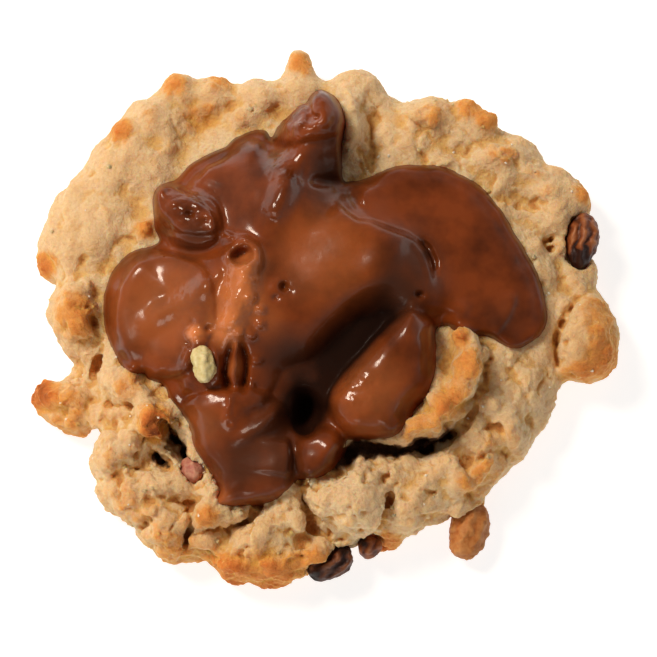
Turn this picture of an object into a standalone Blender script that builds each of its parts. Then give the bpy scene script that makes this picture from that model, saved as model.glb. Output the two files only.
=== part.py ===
"""A craggy drop cookie with nuts, half covered by a thick, glossy run of milk chocolate.

The cookie lies flat on z = 0 with its middle over the origin. Sizes are in millimetres and are turned
into metres by MM. Places of lumps, cracks and lobes are given as the eye sees them when it looks down
along +Y at VIEW_TILT from straight above: x to the right, y up the picture. `in_space` and `on_surface`
turn such a place into a point of the solid.
"""
import math
import random
from typing import NamedTuple

import bmesh
import bpy
from mathutils import Euler, Matrix, Vector
from mathutils.bvhtree import BVHTree

MM = 0.001
VIEW_TILT = math.radians(10.0)

BODY_RADIUS = 32.0
BODY_WIDE = 1.05
BODY_HEIGHT = 13.0
BODY_WIDEST_AT = 4.6
BODY_SQUARENESS = 2.7
BODY_SHIFT_Y = -1.0
RIM_SINK = 1.0
PROFILE_STEPS = 14
LATHE_STEPS = 96

GAP = 0.32
FLOW_THICKNESS = 2.3
LOBE_VOXEL = 0.45
DOUGH_VOXEL = 0.42
DOUGH_TRIANGLES = 6800
CHOCOLATE_TRIANGLES = 2800
COVER_MARGIN = 2.2
CRAG_SEED = 41
CRAG_COUNT = 210
CRAG_INNER = 17.0
CRAG_OUTER = 38.0
STEEPEST = 0.35


class Lump(NamedTuple):
    """Ellipsoid: seen place x, y, height z of its middle, half sizes a, b, c, turn in degrees."""

    x: float
    y: float
    z: float
    a: float
    b: float
    c: float
    turn: float = 0.0


class Knob(NamedTuple):
    """Lump on the surface: seen place, half length, half width, how far it stands proud, turn."""

    x: float
    y: float
    a: float
    b: float
    proud: float
    turn: float = 0.0


class Crack(NamedTuple):
    """Groove along seen places, with its width and depth."""

    path: tuple
    width: float
    depth: float


class Bed(NamedTuple):
    """Upright elliptic outline of a flow of chocolate: seen middle, half sizes, turn, thickness."""

    x: float
    y: float
    a: float
    b: float
    turn: float = 0.0
    thick: float = FLOW_THICKNESS


RIM = {
    "north spike": Lump(-3.4, 34.2, 6.5, 2.1, 3.9, 2.8, 8),
    "north shoulder": Lump(-3.8, 30.2, 6.0, 5.0, 4.2, 4.6),
    "north east brow": Lump(4.0, 29.8, 6.6, 4.8, 4.8, 5.0),
    "east of brow": Lump(8.0, 27.6, 5.6, 3.2, 3.8, 4.4),
    "north east rim": Lump(14.6, 25.8, 6.2, 6.4, 5.0, 5.4),
    "north east end": Lump(20.0, 25.4, 6.2, 4.0, 4.8, 5.0),
    "east brow": Lump(25.0, 20.6, 6.2, 5.0, 5.4, 5.4, -40),
    "east corner": Lump(31.2, 16.6, 5.8, 4.6, 5.0, 4.8, -40),
    "above east nut": Lump(34.0, 15.8, 5.0, 3.0, 3.4, 4.2),
    "behind east nut": Lump(32.4, 10.6, 4.6, 3.8, 5.2, 4.2),
    "below east nut": Lump(34.6, 6.0, 4.6, 3.2, 3.6, 4.2),
    "big east lump": Lump(35.6, -2.6, 5.8, 4.9, 6.5, 5.4, 8),
    "east lump foot": Lump(37.4, -5.2, 4.6, 3.2, 3.1, 3.4),
    "south east rim": Lump(26.4, -10.8, 5.4, 5.0, 6.4, 5.2, -10),
    "south east foot": Lump(23.8, -16.0, 5.0, 4.8, 4.6, 4.8),
    "south east end": Lump(18.6, -21.4, 5.2, 5.6, 4.6, 4.8, 40),
    "nut seat": Lump(19.2, -24.4, 4.2, 3.2, 3.2, 4.0),
    "south shoulder": Lump(11.0, -24.0, 5.2, 4.4, 4.8, 4.8),
    "south bead": Lump(8.5, -30.2, 3.6, 2.0, 1.7, 2.0),
    "south foot": Lump(9.0, -27.0, 3.8, 3.8, 3.0, 3.8),
    "under pale block": Lump(-1.5, -29.2, 4.6, 4.6, 4.6, 4.6),
    "south rim": Lump(-7.0, -31.4, 4.8, 6.0, 5.0, 4.8),
    "south corner": Lump(-12.6, -33.0, 4.0, 2.4, 3.6, 3.8, 10),
    "south west rim": Lump(-19.6, -27.4, 5.0, 6.2, 6.2, 5.2),
    "south west side": Lump(-26.0, -21.4, 5.4, 5.6, 7.0, 5.4, 25),
    "west foot": Lump(-34.2, -11.6, 4.2, 4.6, 4.8, 4.2, -20),
    "west foot spike": Lump(-37.8, -10.2, 4.0, 2.8, 2.2, 2.2, 10),
    "west lump": Lump(-33.4, 0.4, 5.6, 4.6, 6.2, 5.2),
    "west spike": Lump(-37.8, 7.6, 4.4, 2.6, 1.9, 2.2, -20),
    "north west side": Lump(-31.4, 12.0, 5.6, 7.7, 9.6, 6.0, -15),
    "north west slope": Lump(-27.0, 20.2, 6.2, 6.4, 7.6, 5.8, -40),
    "north west rim": Lump(-23.8, 25.8, 6.2, 5.5, 5.3, 5.2, -40),
    "north west horn": Lump(-20.4, 30.4, 5.6, 3.1, 4.0, 4.4, -10),
    "small north horn": Lump(-15.2, 30.6, 5.8, 3.2, 3.4, 4.2),
    "north rim": Lump(-9.8, 29.6, 6.0, 4.2, 4.0, 4.8),
}

KNOBS = {
    "soft dome": Knob(-24.0, 20.0, 6.0, 5.0, 0.9, -30),
    "soft west dome": Knob(-30.0, 12.5, 5.0, 6.0, 0.8),
    "large toasted tip": Knob(-17.4, 28.0, 3.6, 2.6, 2.0, 10),
    "toasted corner": Knob(-28.0, 26.0, 2.0, 1.6, 1.2),
    "toasted freckle": Knob(-21.6, 24.0, 2.2, 1.6, 0.9),
    "toasted bead by rim": Knob(-11.2, 27.8, 2.4, 1.8, 1.2, 20),
    "north fold": Knob(-8.4, 30.2, 3.0, 1.8, 1.0),
    "bead by left nut": Knob(-24.6, 12.4, 1.8, 1.7, 1.9),
    "flap by upper nut": Knob(3.9, 26.4, 1.7, 4.4, 3.4, -4),
    "north east crust": Knob(14.4, 27.6, 3.0, 2.0, 1.4),
    "north east tip": Knob(19.4, 29.2, 2.6, 1.5, 1.2),
    "north east button": Knob(22.0, 27.4, 2.0, 1.6, 1.3),
    "east button": Knob(24.2, 22.6, 2.2, 1.7, 1.6),
    "grain by pool": Knob(16.0, 21.8, 1.7, 1.2, 1.2),
    "crumb ledge": Knob(12.6, 24.4, 2.8, 2.2, 1.0),
    "east swell": Knob(28.6, 19.0, 3.0, 2.4, 1.2, -40),
    "nut cheek": Knob(31.6, 14.4, 2.4, 2.8, 1.2),
    "east rim button": Knob(34.6, 17.2, 1.8, 1.5, 1.2),
    "ledge bead": Knob(18.2, -2.2, 1.4, 1.3, 3.8),
    "ledge top": Knob(19.4, -4.4, 1.7, 2.0, 3.2),
    "ledge upper": Knob(18.8, -7.2, 1.9, 2.4, 3.4, -10),
    "ledge middle": Knob(16.8, -10.6, 2.2, 2.4, 3.4, -30),
    "ledge lower": Knob(13.8, -13.4, 2.6, 1.9, 3.2, 30),
    "ledge end": Knob(11.0, -15.2, 2.0, 1.3, 2.8, 20),
    "south east dome": Knob(26.4, -10.8, 4.0, 3.6, 0.9),
    "diagonal ridge": Knob(23.6, -16.2, 4.6, 1.8, 1.3, 45),
    "second ridge": Knob(19.6, -20.6, 4.2, 1.6, 1.3, 40),
    "third ridge": Knob(14.6, -20.0, 3.0, 2.2, 1.4, 20),
    "pale block": Knob(3.0, -23.6, 5.6, 5.2, 3.0),
    "block neighbour": Knob(10.8, -24.6, 2.9, 3.4, 1.6),
    "south flake": Knob(-4.8, -26.0, 2.6, 2.2, 1.8),
    "south ridge": Knob(-8.6, -29.2, 4.2, 2.4, 1.8, 25),
    "south swell": Knob(-1.6, -31.0, 3.4, 2.6, 1.3),
    "block under tongue": Knob(-14.6, -25.2, 4.0, 2.8, 2.8, 10),
    "south corner knob": Knob(-12.2, -32.6, 2.6, 2.0, 1.0),
    "deep toasted lump": Knob(-23.0, -13.4, 3.0, 2.6, 3.2, -20),
    "orange shelf": Knob(-26.4, -9.0, 3.4, 2.6, 2.2, -15),
    "west shelf": Knob(-29.4, -12.4, 3.0, 3.4, 1.6),
    "west block": Knob(-27.8, -18.0, 3.8, 3.2, 1.9, 20),
    "south west flake": Knob(-21.8, -21.8, 4.0, 2.2, 2.0, -15),
    "lower west flake": Knob(-26.4, -24.4, 3.0, 2.6, 1.4),
    "south west knob": Knob(-21.6, -28.0, 3.2, 2.6, 1.5),
    "toasted west knob": Knob(-33.6, 1.0, 2.6, 3.8, 1.8),
    "west hollow lip": Knob(-30.6, 4.6, 2.6, 2.2, 1.1),
    "foot knob": Knob(-35.0, -10.8, 2.8, 2.2, 1.2),
}

CRACKS = {
    "crevice beside tongue": Crack(((-21.9, -13.8), (-20.2, -16.6), (-18.4, -20.2)), 2.3, 5.0),
    "hole below lump": Crack(((-23.2, -18.0), (-21.6, -20.0)), 1.8, 4.0),
    "slit in west lump": Crack(((-32.8, 2.2), (-31.8, 0.0), (-30.8, -2.8)), 1.1, 2.6),
    "crevice above foot": Crack(((-29.6, -3.2), (-31.0, -6.0), (-32.2, -8.6)), 1.4, 3.2),
    "foot parting": Crack(((-32.2, -8.6), (-32.6, -12.0), (-31.6, -16.6)), 1.2, 2.4),
    "west hairline": Crack(((-34.0, 7.0), (-32.0, 8.6), (-29.8, 9.4)), 0.8, 1.3),
    "west block crack": Crack(((-27.6, -21.6), (-25.6, -20.2), (-23.6, -18.6)), 1.1, 2.4),
    "flake crack": Crack(((-22.0, -23.8), (-20.0, -24.4), (-18.0, -25.4)), 1.1, 2.2),
    "dark slit": Crack(((-25.2, -28.4), (-24.4, -27.6), (-23.6, -26.6)), 1.1, 2.2),
    "south fissure": Crack(((-18.4, -22.6), (-18.2, -27.8), (-19.2, -30.6), (-19.0, -33.0)), 1.0, 2.4),
    "curved crack": Crack(((-14.6, -28.4), (-10.8, -27.2), (-8.4, -24.8), (-7.2, -25.6)), 1.1, 2.4),
    "small south crack": Crack(((-7.6, -28.0), (-4.4, -28.0)), 0.9, 1.6),
    "west of pale block": Crack(((-3.2, -20.4), (-2.8, -24.4), (-0.8, -28.6), (4.2, -29.6)), 1.1, 2.8),
    "east of pale block": Crack(((8.8, -20.0), (8.4, -24.0), (7.6, -27.6)), 1.2, 2.8),
    "under the ledge": Crack(((8.8, -17.4), (14.2, -17.4), (19.0, -13.8), (21.8, -8.4)), 1.5, 3.0),
    "ridge parting": Crack(((17.0, -22.6), (21.0, -18.6), (25.0, -15.4)), 1.0, 1.8),
    "south east crack": Crack(((12.8, -23.2), (15.6, -22.8)), 0.9, 1.6),
    "east hairline": Crack(((25.6, 15.2), (28.0, 16.4), (30.2, 16.2)), 0.8, 1.2),
    "east slot": Crack(((29.8, 9.4), (32.0, 11.2)), 1.2, 2.6),
    "big lump parting": Crack(((35.2, 3.8), (32.6, 0.2), (31.4, -3.6), (32.4, -7.4)), 1.2, 2.6),
    "gap by upper nut": Crack(((4.6, 30.2), (5.6, 26.0), (6.0, 22.0), (6.6, 19.6)), 1.6, 3.4),
    "north hollow": Crack(((-12.8, 30.4), (-11.8, 29.6)), 1.2, 1.8),
    "well in the middle": Crack(((-2.6, -10.4), (-2.0, -14.0)), 5.8, 3.0),
    "ne notch": Crack(((8.0, 30.0), (10.4, 26.6)), 1.3, 2.2),
}

BEDS = {
    "pool near": Bed(13.0, 12.0, 9.8, 9.0),
    "pool middle": Bed(19.0, 9.6, 8.7, 9.8),
    "pool end": Bed(23.8, 2.7, 6.4, 6.6),
    "left lobe": Bed(-21.8, 1.4, 8.2, 8.7),
    "upper lobe": Bed(-12.4, 18.6, 8.2, 6.6, 10),
    "centre": Bed(-3.4, 9.0, 15.5, 11.0),
    "tongue top": Bed(-15.0, -7.0, 8.4, 7.0),
    "tongue": Bed(-10.5, -15.0, 7.1, 9.4, 8),
    "film": Bed(14.4, 1.2, 4.6, 2.8, -30),
}

LOBES = {
    "pool end swell": Lump(23.8, 2.8, 9.6, 6.0, 6.0, 4.4),
    "pool swell": Lump(17.4, 10.6, 10.6, 9.8, 8.6, 4.6, -30),
    "centre mass": Lump(3.6, 6.6, 13.6, 11.4, 8.8, 7.6, -22),
    "centre brow": Lump(10.4, 4.6, 14.0, 4.8, 6.2, 6.0, 30),
    "upper saddle": Lump(-5.4, 15.8, 14.0, 8.4, 8.6, 7.6),
    "shoulder": Lump(-12.4, 17.4, 11.6, 6.6, 5.0, 4.8, 15),
    "ridge": Lump(-12.0, 3.4, 14.6, 5.8, 8.0, 8.0, 8),
    "ridge foot": Lump(-14.0, -4.2, 13.0, 6.4, 6.4, 6.8),
    "left lobe": Lump(-21.4, 1.6, 9.8, 7.8, 8.2, 5.6),
    "left lobe top": Lump(-17.4, 5.4, 12.0, 6.4, 5.4, 5.0, 30),
    "tongue upper": Lump(-12.8, -11.4, 11.0, 6.4, 7.0, 6.4),
    "tongue lower": Lump(-10.2, -18.0, 9.0, 6.3, 6.0, 5.4, 10),
    "between": Lump(-3.8, 1.4, 13.4, 7.4, 8.2, 7.0),
    "lower right upper": Lump(10.8, -3.6, 13.4, 4.9, 5.6, 5.2, -20),
    "lower right lower": Lump(6.0, -10.4, 13.0, 5.9, 5.1, 5.2, 40),
    "small blob": Lump(-0.3, -17.4, 12.2, 3.5, 3.3, 4.0),
    "valley floor": Lump(0.6, -6.6, 12.8, 6.6, 4.6, 3.4, 35),
    "hole floor": Lump(-2.3, -12.2, 9.4, 4.2, 5.2, 2.8),
    "hole side": Lump(-5.4, -12.0, 12.4, 3.2, 5.0, 4.6, 8),
    "left nut": Lump(-18.6, 14.4, 15.0, 4.9, 3.3, 3.6, -28),
    "left nut seat": Lump(-17.4, 11.6, 12.4, 4.6, 3.6, 4.0, -20),
    "column": Lump(-1.8, 22.4, 16.2, 4.5, 4.2, 6.2),
    "column foot": Lump(-3.2, 18.6, 14.4, 5.2, 4.4, 6.4),
    "column back": Lump(-1.6, 27.0, 14.5, 3.3, 3.0, 5.5),
    "upper nut tip": Lump(-0.7, 29.2, 21.2, 2.4, 2.5, 3.0, 20),
    "upper nut left": Lump(-4.2, 26.8, 20.4, 3.2, 2.3, 2.8, 25),
    "upper nut right": Lump(0.6, 26.2, 20.2, 2.6, 2.9, 3.2),
    "nut cluster": Lump(-10.4, 8.2, 17.6, 3.2, 3.0, 3.6),
}

PITS = {
    "deep hole": Lump(-2.3, -12.2, 17.8, 1.9, 3.2, 5.6),
    "valley": Lump(2.4, -5.2, 19.0, 6.2, 1.2, 3.2, 38),
    "bubble hole": Lump(-11.0, 8.3, 21.6, 1.3, 1.2, 2.2),
    "left slot": Lump(-13.0, -6.4, 19.4, 0.7, 2.9, 2.4, 6),
    "right slot": Lump(-10.9, -6.2, 19.0, 0.7, 3.0, 2.4, 6),
    "left nut pit": Lump(-19.4, 15.2, 18.8, 2.6, 1.0, 0.9, -28),
    "upper nut pit": Lump(-1.0, 27.4, 23.4, 0.8, 0.9, 1.2),
    "face below upper nut": Lump(-0.8, 24.4, 18.6, 2.6, 0.7, 1.0, 5),
    "pool pocket": Lump(4.6, 17.2, 18.4, 2.8, 1.4, 2.2, -40),
}

NUTS = {
    "east_pecan": Lump(35.3, 10.8, 7.4, 2.2, 4.0, 2.4, -8),
    "south_pecan": Lump(0.7, -33.1, 5.4, 3.4, 2.2, 2.5, 30),
    "south_pecan_half": Lump(6.1, -30.9, 5.0, 1.7, 1.5, 2.0, 12),
    "toasted_nut": Lump(19.6, -28.8, 3.4, 2.8, 4.1, 2.8, -12),
    "red_skinned_nut": Lump(-18.0, -20.4, 9.2, 1.5, 1.9, 1.7, 20),
    "bare_nutmeat": Lump(-16.2, -6.0, 18.0, 1.6, 2.6, 1.8, -12),
}

FINISHES = {
    "baked dough": ("D6A875", 0.86),
    "milk chocolate": ("6E3A22", 0.22),
    "pecan skin": ("6A3820", 0.62),
    "dark pecan skin": ("50301C", 0.62),
    "toasted nut skin": ("A25E30", 0.66),
    "red nut skin": ("9A4A3C", 0.66),
    "pale nutmeat": ("CDB083", 0.58),
}


def fresh_scene():
    """Empty the file of objects."""
    for old in list(bpy.data.objects):
        bpy.data.objects.remove(old, do_unlink=True)


def collection(name, helper=False):
    """New collection in the scene; a helper one is kept out of renders."""
    made = bpy.data.collections.new(name)
    bpy.context.scene.collection.children.link(made)
    made.hide_render = helper
    return made


def srgb(hex_colour):
    """Linear colour of a six-figure sRGB hex value."""
    parts = [int(hex_colour[i:i + 2], 16) / 255 for i in (0, 2, 4)]
    return tuple(p / 12.92 if p <= 0.04045 else ((p + 0.055) / 1.055) ** 2.4 for p in parts) + (1.0,)


def material(name):
    """Plain surface with one colour and one roughness."""
    colour, roughness = FINISHES[name]
    made = bpy.data.materials.new(name)
    made.use_nodes = True
    shader = made.node_tree.nodes["Principled BSDF"]
    shader.inputs["Base Color"].default_value = srgb(colour)
    shader.inputs["Roughness"].default_value = roughness
    shader.inputs["Metallic"].default_value = 0.0
    made.diffuse_color = srgb(colour)
    return made


def in_space(x, y, z):
    """Point at height z that is seen at x, y."""
    return Vector((x, (y - z * math.sin(VIEW_TILT)) / math.cos(VIEW_TILT), z)) * MM


def placed(lump, grow=0.0):
    """Matrix that carries the unit ball onto a lump, grown by a margin."""
    turn = Euler((0.0, 0.0, math.radians(lump.turn))).to_matrix().to_4x4()
    size = Matrix.Diagonal(((lump.a + grow) * MM, (lump.b + grow) * MM, (lump.c + grow) * MM, 1.0))
    return Matrix.Translation(in_space(lump.x, lump.y, lump.z)) @ turn @ size


def seated(lump):
    """A rim lump drawn down onto the floor with its top left where it is."""
    return lump._replace(z=lump.z - RIM_SINK, c=lump.c + RIM_SINK)


def balls(name, lumps, home, fineness=3):
    """One mesh of ellipsoids that still overlap one another."""
    bm = bmesh.new()
    for lump in lumps:
        bmesh.ops.create_icosphere(bm, subdivisions=fineness, radius=1.0, matrix=placed(lump))
    return from_bmesh(name, bm, home)


def from_bmesh(name, bm, home):
    """Object made of a bmesh, linked to a collection."""
    mesh = bpy.data.meshes.new(name)
    bm.to_mesh(mesh)
    bm.free()
    made = bpy.data.objects.new(name, mesh)
    home.objects.link(made)
    return made


def settle(ob):
    """Turn an object's modifiers into its mesh."""
    bpy.context.view_layer.update()
    shown = ob.evaluated_get(bpy.context.evaluated_depsgraph_get())
    mesh = bpy.data.meshes.new_from_object(shown)
    ob.modifiers.clear()
    ob.data = mesh
    return ob


def voxels(ob, size):
    """Weld all that overlaps into one even skin."""
    mod = ob.modifiers.new("skin", "REMESH")
    mod.mode = "VOXEL"
    mod.voxel_size = size * MM
    mod.use_smooth_shade = True
    return settle(ob)


def soften(ob, rounds, factor=0.5, group=""):
    """Round off creases, everywhere or in one vertex group."""
    mod = ob.modifiers.new("soften", "SMOOTH")
    mod.factor = factor
    mod.iterations = rounds
    mod.vertex_group = group
    return settle(ob)


def under_cover(x, y):
    """Whether a seen place lies well inside the outline of a flow."""
    for bed in BEDS.values():
        angle = math.radians(bed.turn)
        dx, dy = x - bed.x, y - bed.y
        along = dx * math.cos(angle) + dy * math.sin(angle)
        across = dy * math.cos(angle) - dx * math.sin(angle)
        if math.hypot(along / (bed.a - COVER_MARGIN), across / (bed.b - COVER_MARGIN)) < 1.0:
            return True
    return False


def seen(point):
    """Place in the picture of a point of the solid."""
    x, y, z = point / MM
    return x, y * math.cos(VIEW_TILT) + z * math.sin(VIEW_TILT)


def even_out_cover(ob):
    """Smooth the top of the dough where chocolate lies over it."""
    group = ob.vertex_groups.new(name="covered")
    high = [v for v in ob.data.vertices if v.co.z > BODY_WIDEST_AT * MM]
    group.add([v.index for v in high if under_cover(*seen(v.co))], 1.0, "REPLACE")
    return soften(ob, 80, group="covered")


def grown(ob, amount, name, home):
    """Copy of a solid pushed out along its surface by an amount."""
    twin = ob.copy()
    twin.data = ob.data.copy()
    twin.name = name
    home.objects.link(twin)
    mod = twin.modifiers.new("grow", "DISPLACE")
    mod.strength = amount * MM
    mod.mid_level = 0.0
    return settle(twin)


def boolean(ob, tool, operation):
    """Join, cut or cross two solids."""
    mod = ob.modifiers.new(operation.lower(), "BOOLEAN")
    mod.operation = operation
    mod.object = tool
    mod.solver = "MANIFOLD"
    return settle(ob)


def thin_out(ob, triangles):
    """Reduce a mesh to about a number of triangles."""
    now = sum(len(p.vertices) - 2 for p in ob.data.polygons)
    mod = ob.modifiers.new("thin out", "DECIMATE")
    mod.ratio = min(1.0, triangles / now)
    mod.use_collapse_triangulate = True
    return settle(ob)


def largest_body(ob):
    """Keep the largest connected body of a mesh and drop the scraps."""
    bm = bmesh.new()
    bm.from_mesh(ob.data)
    left = set(bm.verts)
    bodies = []
    while left:
        body = {left.pop()}
        edge_of = list(body)
        while edge_of:
            near = {e.other_vert(v) for v in edge_of for e in v.link_edges} - body
            body |= near
            edge_of = list(near)
        left -= body
        bodies.append(body)
    bodies.sort(key=len, reverse=True)
    scraps = [v for body in bodies[1:] for v in body]
    bmesh.ops.delete(bm, geom=scraps, context="VERTS")
    bm.to_mesh(ob.data)
    bm.free()
    return ob


def relief(ob, size, strength, kind="CLOUDS"):
    """Uneven the surface with a noise whose grains have a given size."""
    grain = bpy.data.textures.new("grain", type=kind)
    grain.noise_scale = size * MM
    mod = ob.modifiers.new("relief", "DISPLACE")
    mod.texture = grain
    mod.texture_coords = "LOCAL"
    mod.strength = strength * MM
    mod.mid_level = 0.5
    return settle(ob)


def lathe_body(home):
    """Low dome of dough, turned from a rounded profile that goes a little under z = 0."""
    bm = bmesh.new()
    power = 2.0 / BODY_SQUARENESS
    above, below = BODY_HEIGHT - BODY_WIDEST_AT, BODY_WIDEST_AT + 1.0
    ring = []
    for step in range(PROFILE_STEPS + 1):
        angle = math.pi * (step / PROFILE_STEPS - 0.5)
        out = BODY_RADIUS * max(0.0, math.cos(angle)) ** power
        rise = abs(math.sin(angle)) ** power * (above if angle > 0 else -below)
        ring.append(bm.verts.new(Vector((out, 0.0, BODY_WIDEST_AT + rise)) * MM))
    for low, high in zip(ring, ring[1:]):
        bm.edges.new((low, high))
    made = from_bmesh("dome", bm, home)
    mod = made.modifiers.new("turn", "SCREW")
    mod.steps = LATHE_STEPS
    mod.render_steps = LATHE_STEPS
    mod.use_merge_vertices = True
    mod.merge_threshold = 0.00001
    settle(made)
    made.data.transform(Matrix.Diagonal((BODY_WIDE, 1.0, 1.0, 1.0)))
    made.data.transform(Matrix.Translation((0.0, BODY_SHIFT_Y * MM, 0.0)))
    return made


def join(name, parts, home):
    """One object that holds the faces of several, which are removed."""
    bm = bmesh.new()
    for part in parts:
        bm.from_mesh(part.data)
        bpy.data.objects.remove(part, do_unlink=True)
    bmesh.ops.recalc_face_normals(bm, faces=bm.faces)
    return from_bmesh(name, bm, home)


def on_surface(tree, x, y):
    """Point and normal of the solid that is seen at x, y."""
    towards_eye = Vector((0.0, -math.sin(VIEW_TILT), math.cos(VIEW_TILT)))
    up_picture = Vector((0.0, math.cos(VIEW_TILT), math.sin(VIEW_TILT)))
    start = (Vector((x, 0.0, 0.0)) + up_picture * y + towards_eye * 80.0) * MM
    point, normal, _, _ = tree.ray_cast(start, -towards_eye)
    return point, normal


def surface_tree(ob):
    """Search tree of a solid's faces."""
    bm = bmesh.new()
    bm.from_mesh(ob.data)
    tree = BVHTree.FromBMesh(bm)
    bm.free()
    return tree


def knob_lumps(tree, knobs):
    """Lumps that stand on the surface by as much as their knobs say."""
    made = []
    for knob in knobs:
        point, normal = on_surface(tree, knob.x, knob.y)
        if point is None or normal.z < STEEPEST:
            continue
        half = 0.5 * (knob.a + knob.b)
        height = point.z / MM + knob.proud - half
        made.append(Lump(knob.x, knob.y, height, knob.a, knob.b, half, knob.turn))
    return made


def crag_knobs(tree):
    """Seeded small lumps, many and proud low in the picture, few at the upper left, none past the rim."""
    draw = random.Random(CRAG_SEED)
    made = []
    while len(made) < CRAG_COUNT:
        angle = draw.uniform(0.0, math.tau)
        reach = draw.uniform(CRAG_INNER, CRAG_OUTER)
        x, y = reach * math.cos(angle), reach * math.sin(angle)
        rough = 0.5 - 0.5 * math.cos(angle - math.radians(130.0))
        if draw.random() > 0.25 + 0.75 * rough or under_cover(x, y):
            continue
        size = draw.uniform(0.9, 2.0) * (0.7 + 0.5 * rough)
        proud = size * draw.uniform(0.25, 0.6) * (0.5 + 0.6 * rough)
        past = 1.0 + 1.4 * size / reach
        if on_surface(tree, x * past, y * past)[0] is None:
            continue
        made.append(Knob(x, y, size * draw.uniform(0.9, 1.5), size, proud, draw.uniform(0, 180)))
    return made


def groove(name, crack, tree, home):
    """Blade that follows the surface, tapered at both ends, for cutting a crack."""
    line = bpy.data.curves.new(name, "CURVE")
    line.dimensions = "3D"
    line.twist_mode = "Z_UP"
    line.extrude = crack.depth * 0.5 * MM
    line.bevel_depth = crack.width * 0.5 * MM
    line.bevel_resolution = 2
    line.resolution_u = 6
    line.use_fill_caps = True
    spline = line.splines.new("BEZIER")
    places = [on_surface(tree, x, y)[0] for x, y in crack.path]
    places = [p for p in places if p is not None]
    spline.bezier_points.add(len(places) - 1)
    last = len(places) - 1
    for i, (knot, place) in enumerate(zip(spline.bezier_points, places)):
        knot.co = place - Vector((0.0, 0.0, crack.depth * 0.25 * MM))
        knot.handle_left_type = knot.handle_right_type = "AUTO"
        knot.radius = 0.45 if i in (0, last) else 1.0
    made = bpy.data.objects.new(name, line)
    home.objects.link(made)
    bpy.context.view_layer.update()
    shown = made.evaluated_get(bpy.context.evaluated_depsgraph_get())
    mesh = bpy.data.meshes.new_from_object(shown)
    bpy.data.objects.remove(made, do_unlink=True)
    solid = bpy.data.objects.new(name, mesh)
    home.objects.link(solid)
    return solid


def cut_floor(ob, height, home):
    """Slice off all that hangs below a height."""
    bm = bmesh.new()
    block = 120.0 * MM
    below = Matrix.Translation((0.0, 0.0, height * MM - block / 2))
    bmesh.ops.create_cube(bm, size=block, matrix=below)
    slab = from_bmesh("floor", bm, home)
    boolean(ob, slab, "DIFFERENCE")
    bpy.data.objects.remove(slab, do_unlink=True)
    return ob


def make_dough(home):
    """Dome, rim lumps, knobs and crags in one skin, with its cracks cut and its foot flat."""
    dome = lathe_body(home)
    rim = balls("rim", [seated(lump) for lump in RIM.values()], home)
    body = voxels(join("dough", [dome, rim], home), DOUGH_VOXEL * 2)
    tree = surface_tree(body)
    knobs = balls("knobs", knob_lumps(tree, KNOBS.values()), home)
    body = voxels(join("dough", [body, knobs], home), DOUGH_VOXEL * 1.5)
    tree = surface_tree(body)
    crags = balls("crags", knob_lumps(tree, crag_knobs(tree)), home, 2)
    body = voxels(join("dough", [body, crags], home), DOUGH_VOXEL)
    relief(body, 6.0, 1.5)
    relief(body, 2.2, 0.9)
    tree = surface_tree(body)
    blades = [groove(name, crack, tree, home) for name, crack in CRACKS.items()]
    blade = voxels(join("blades", blades, home), 0.3)
    boolean(body, blade, "DIFFERENCE")
    bpy.data.objects.remove(blade, do_unlink=True)
    voxels(body, DOUGH_VOXEL)
    soften(body, 2)
    even_out_cover(body)
    largest_body(body)
    cut_floor(body, -0.6, home)
    return body


def flow_sheet(dough, home):
    """Even layer over the dough inside the upright outlines of the flows."""
    layer = grown(dough, FLOW_THICKNESS, "layer", home)
    voxels(layer, LOBE_VOXEL)
    bm = bmesh.new()
    for bed in BEDS.values():
        turn = Euler((0.0, 0.0, math.radians(bed.turn))).to_matrix().to_4x4()
        middle = in_space(bed.x, bed.y, 12.0)
        size = Matrix.Diagonal((bed.a, bed.b, 1.0, 1.0))
        bmesh.ops.create_cone(
            bm, cap_ends=True, segments=64, radius1=MM, radius2=MM, depth=30.0 * MM,
            matrix=Matrix.Translation(middle) @ turn @ size,
        )
    prisms = voxels(from_bmesh("beds", bm, home), LOBE_VOXEL)
    boolean(layer, prisms, "INTERSECT")
    bpy.data.objects.remove(prisms, do_unlink=True)
    return layer


def make_chocolate(smooth_dough, dough, home):
    """Flows and lobes melted together, pitted, then fitted over the dough with a small gap."""
    sheet = flow_sheet(smooth_dough, home)
    lobes = balls("lobes", LOBES.values(), home, 4)
    body = voxels(join("chocolate", [sheet, lobes], home), LOBE_VOXEL)
    soften(body, 30)
    pits = balls("pits", PITS.values(), home)
    pits = voxels(pits, 0.25)
    boolean(body, pits, "DIFFERENCE")
    bpy.data.objects.remove(pits, do_unlink=True)
    voxels(body, LOBE_VOXEL * 0.8)
    soften(body, 4)
    thin_out(body, CHOCOLATE_TRIANGLES)
    seat = grown(dough, GAP, "seat", home)
    boolean(body, seat, "DIFFERENCE")
    bpy.data.objects.remove(seat, do_unlink=True)
    return body


def make_nut(name, lump, home, ridges=7, depth=0.08, draw=None):
    """Piece of nut: an uneven ellipsoid, ridged along its length."""
    bm = bmesh.new()
    bmesh.ops.create_uvsphere(bm, u_segments=16, v_segments=9, radius=1.0)
    long_axis_y = lump.b > lump.a
    shift = draw.uniform(0.0, math.tau)
    for vert in bm.verts:
        along, across = (vert.co.y, vert.co.x) if long_axis_y else (vert.co.x, vert.co.y)
        round_it = math.atan2(vert.co.z, across)
        waist = 1.0 - 0.10 * math.cos(3.0 * along + shift)
        ridge = 1.0 + depth * math.cos(ridges * round_it + shift + 1.4 * along)
        keep = vert.co.y if long_axis_y else vert.co.x
        vert.co *= ridge * waist
        if long_axis_y:
            vert.co.y = keep
        else:
            vert.co.x = keep
    bm.transform(placed(lump))
    return from_bmesh(name, bm, home)


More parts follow.
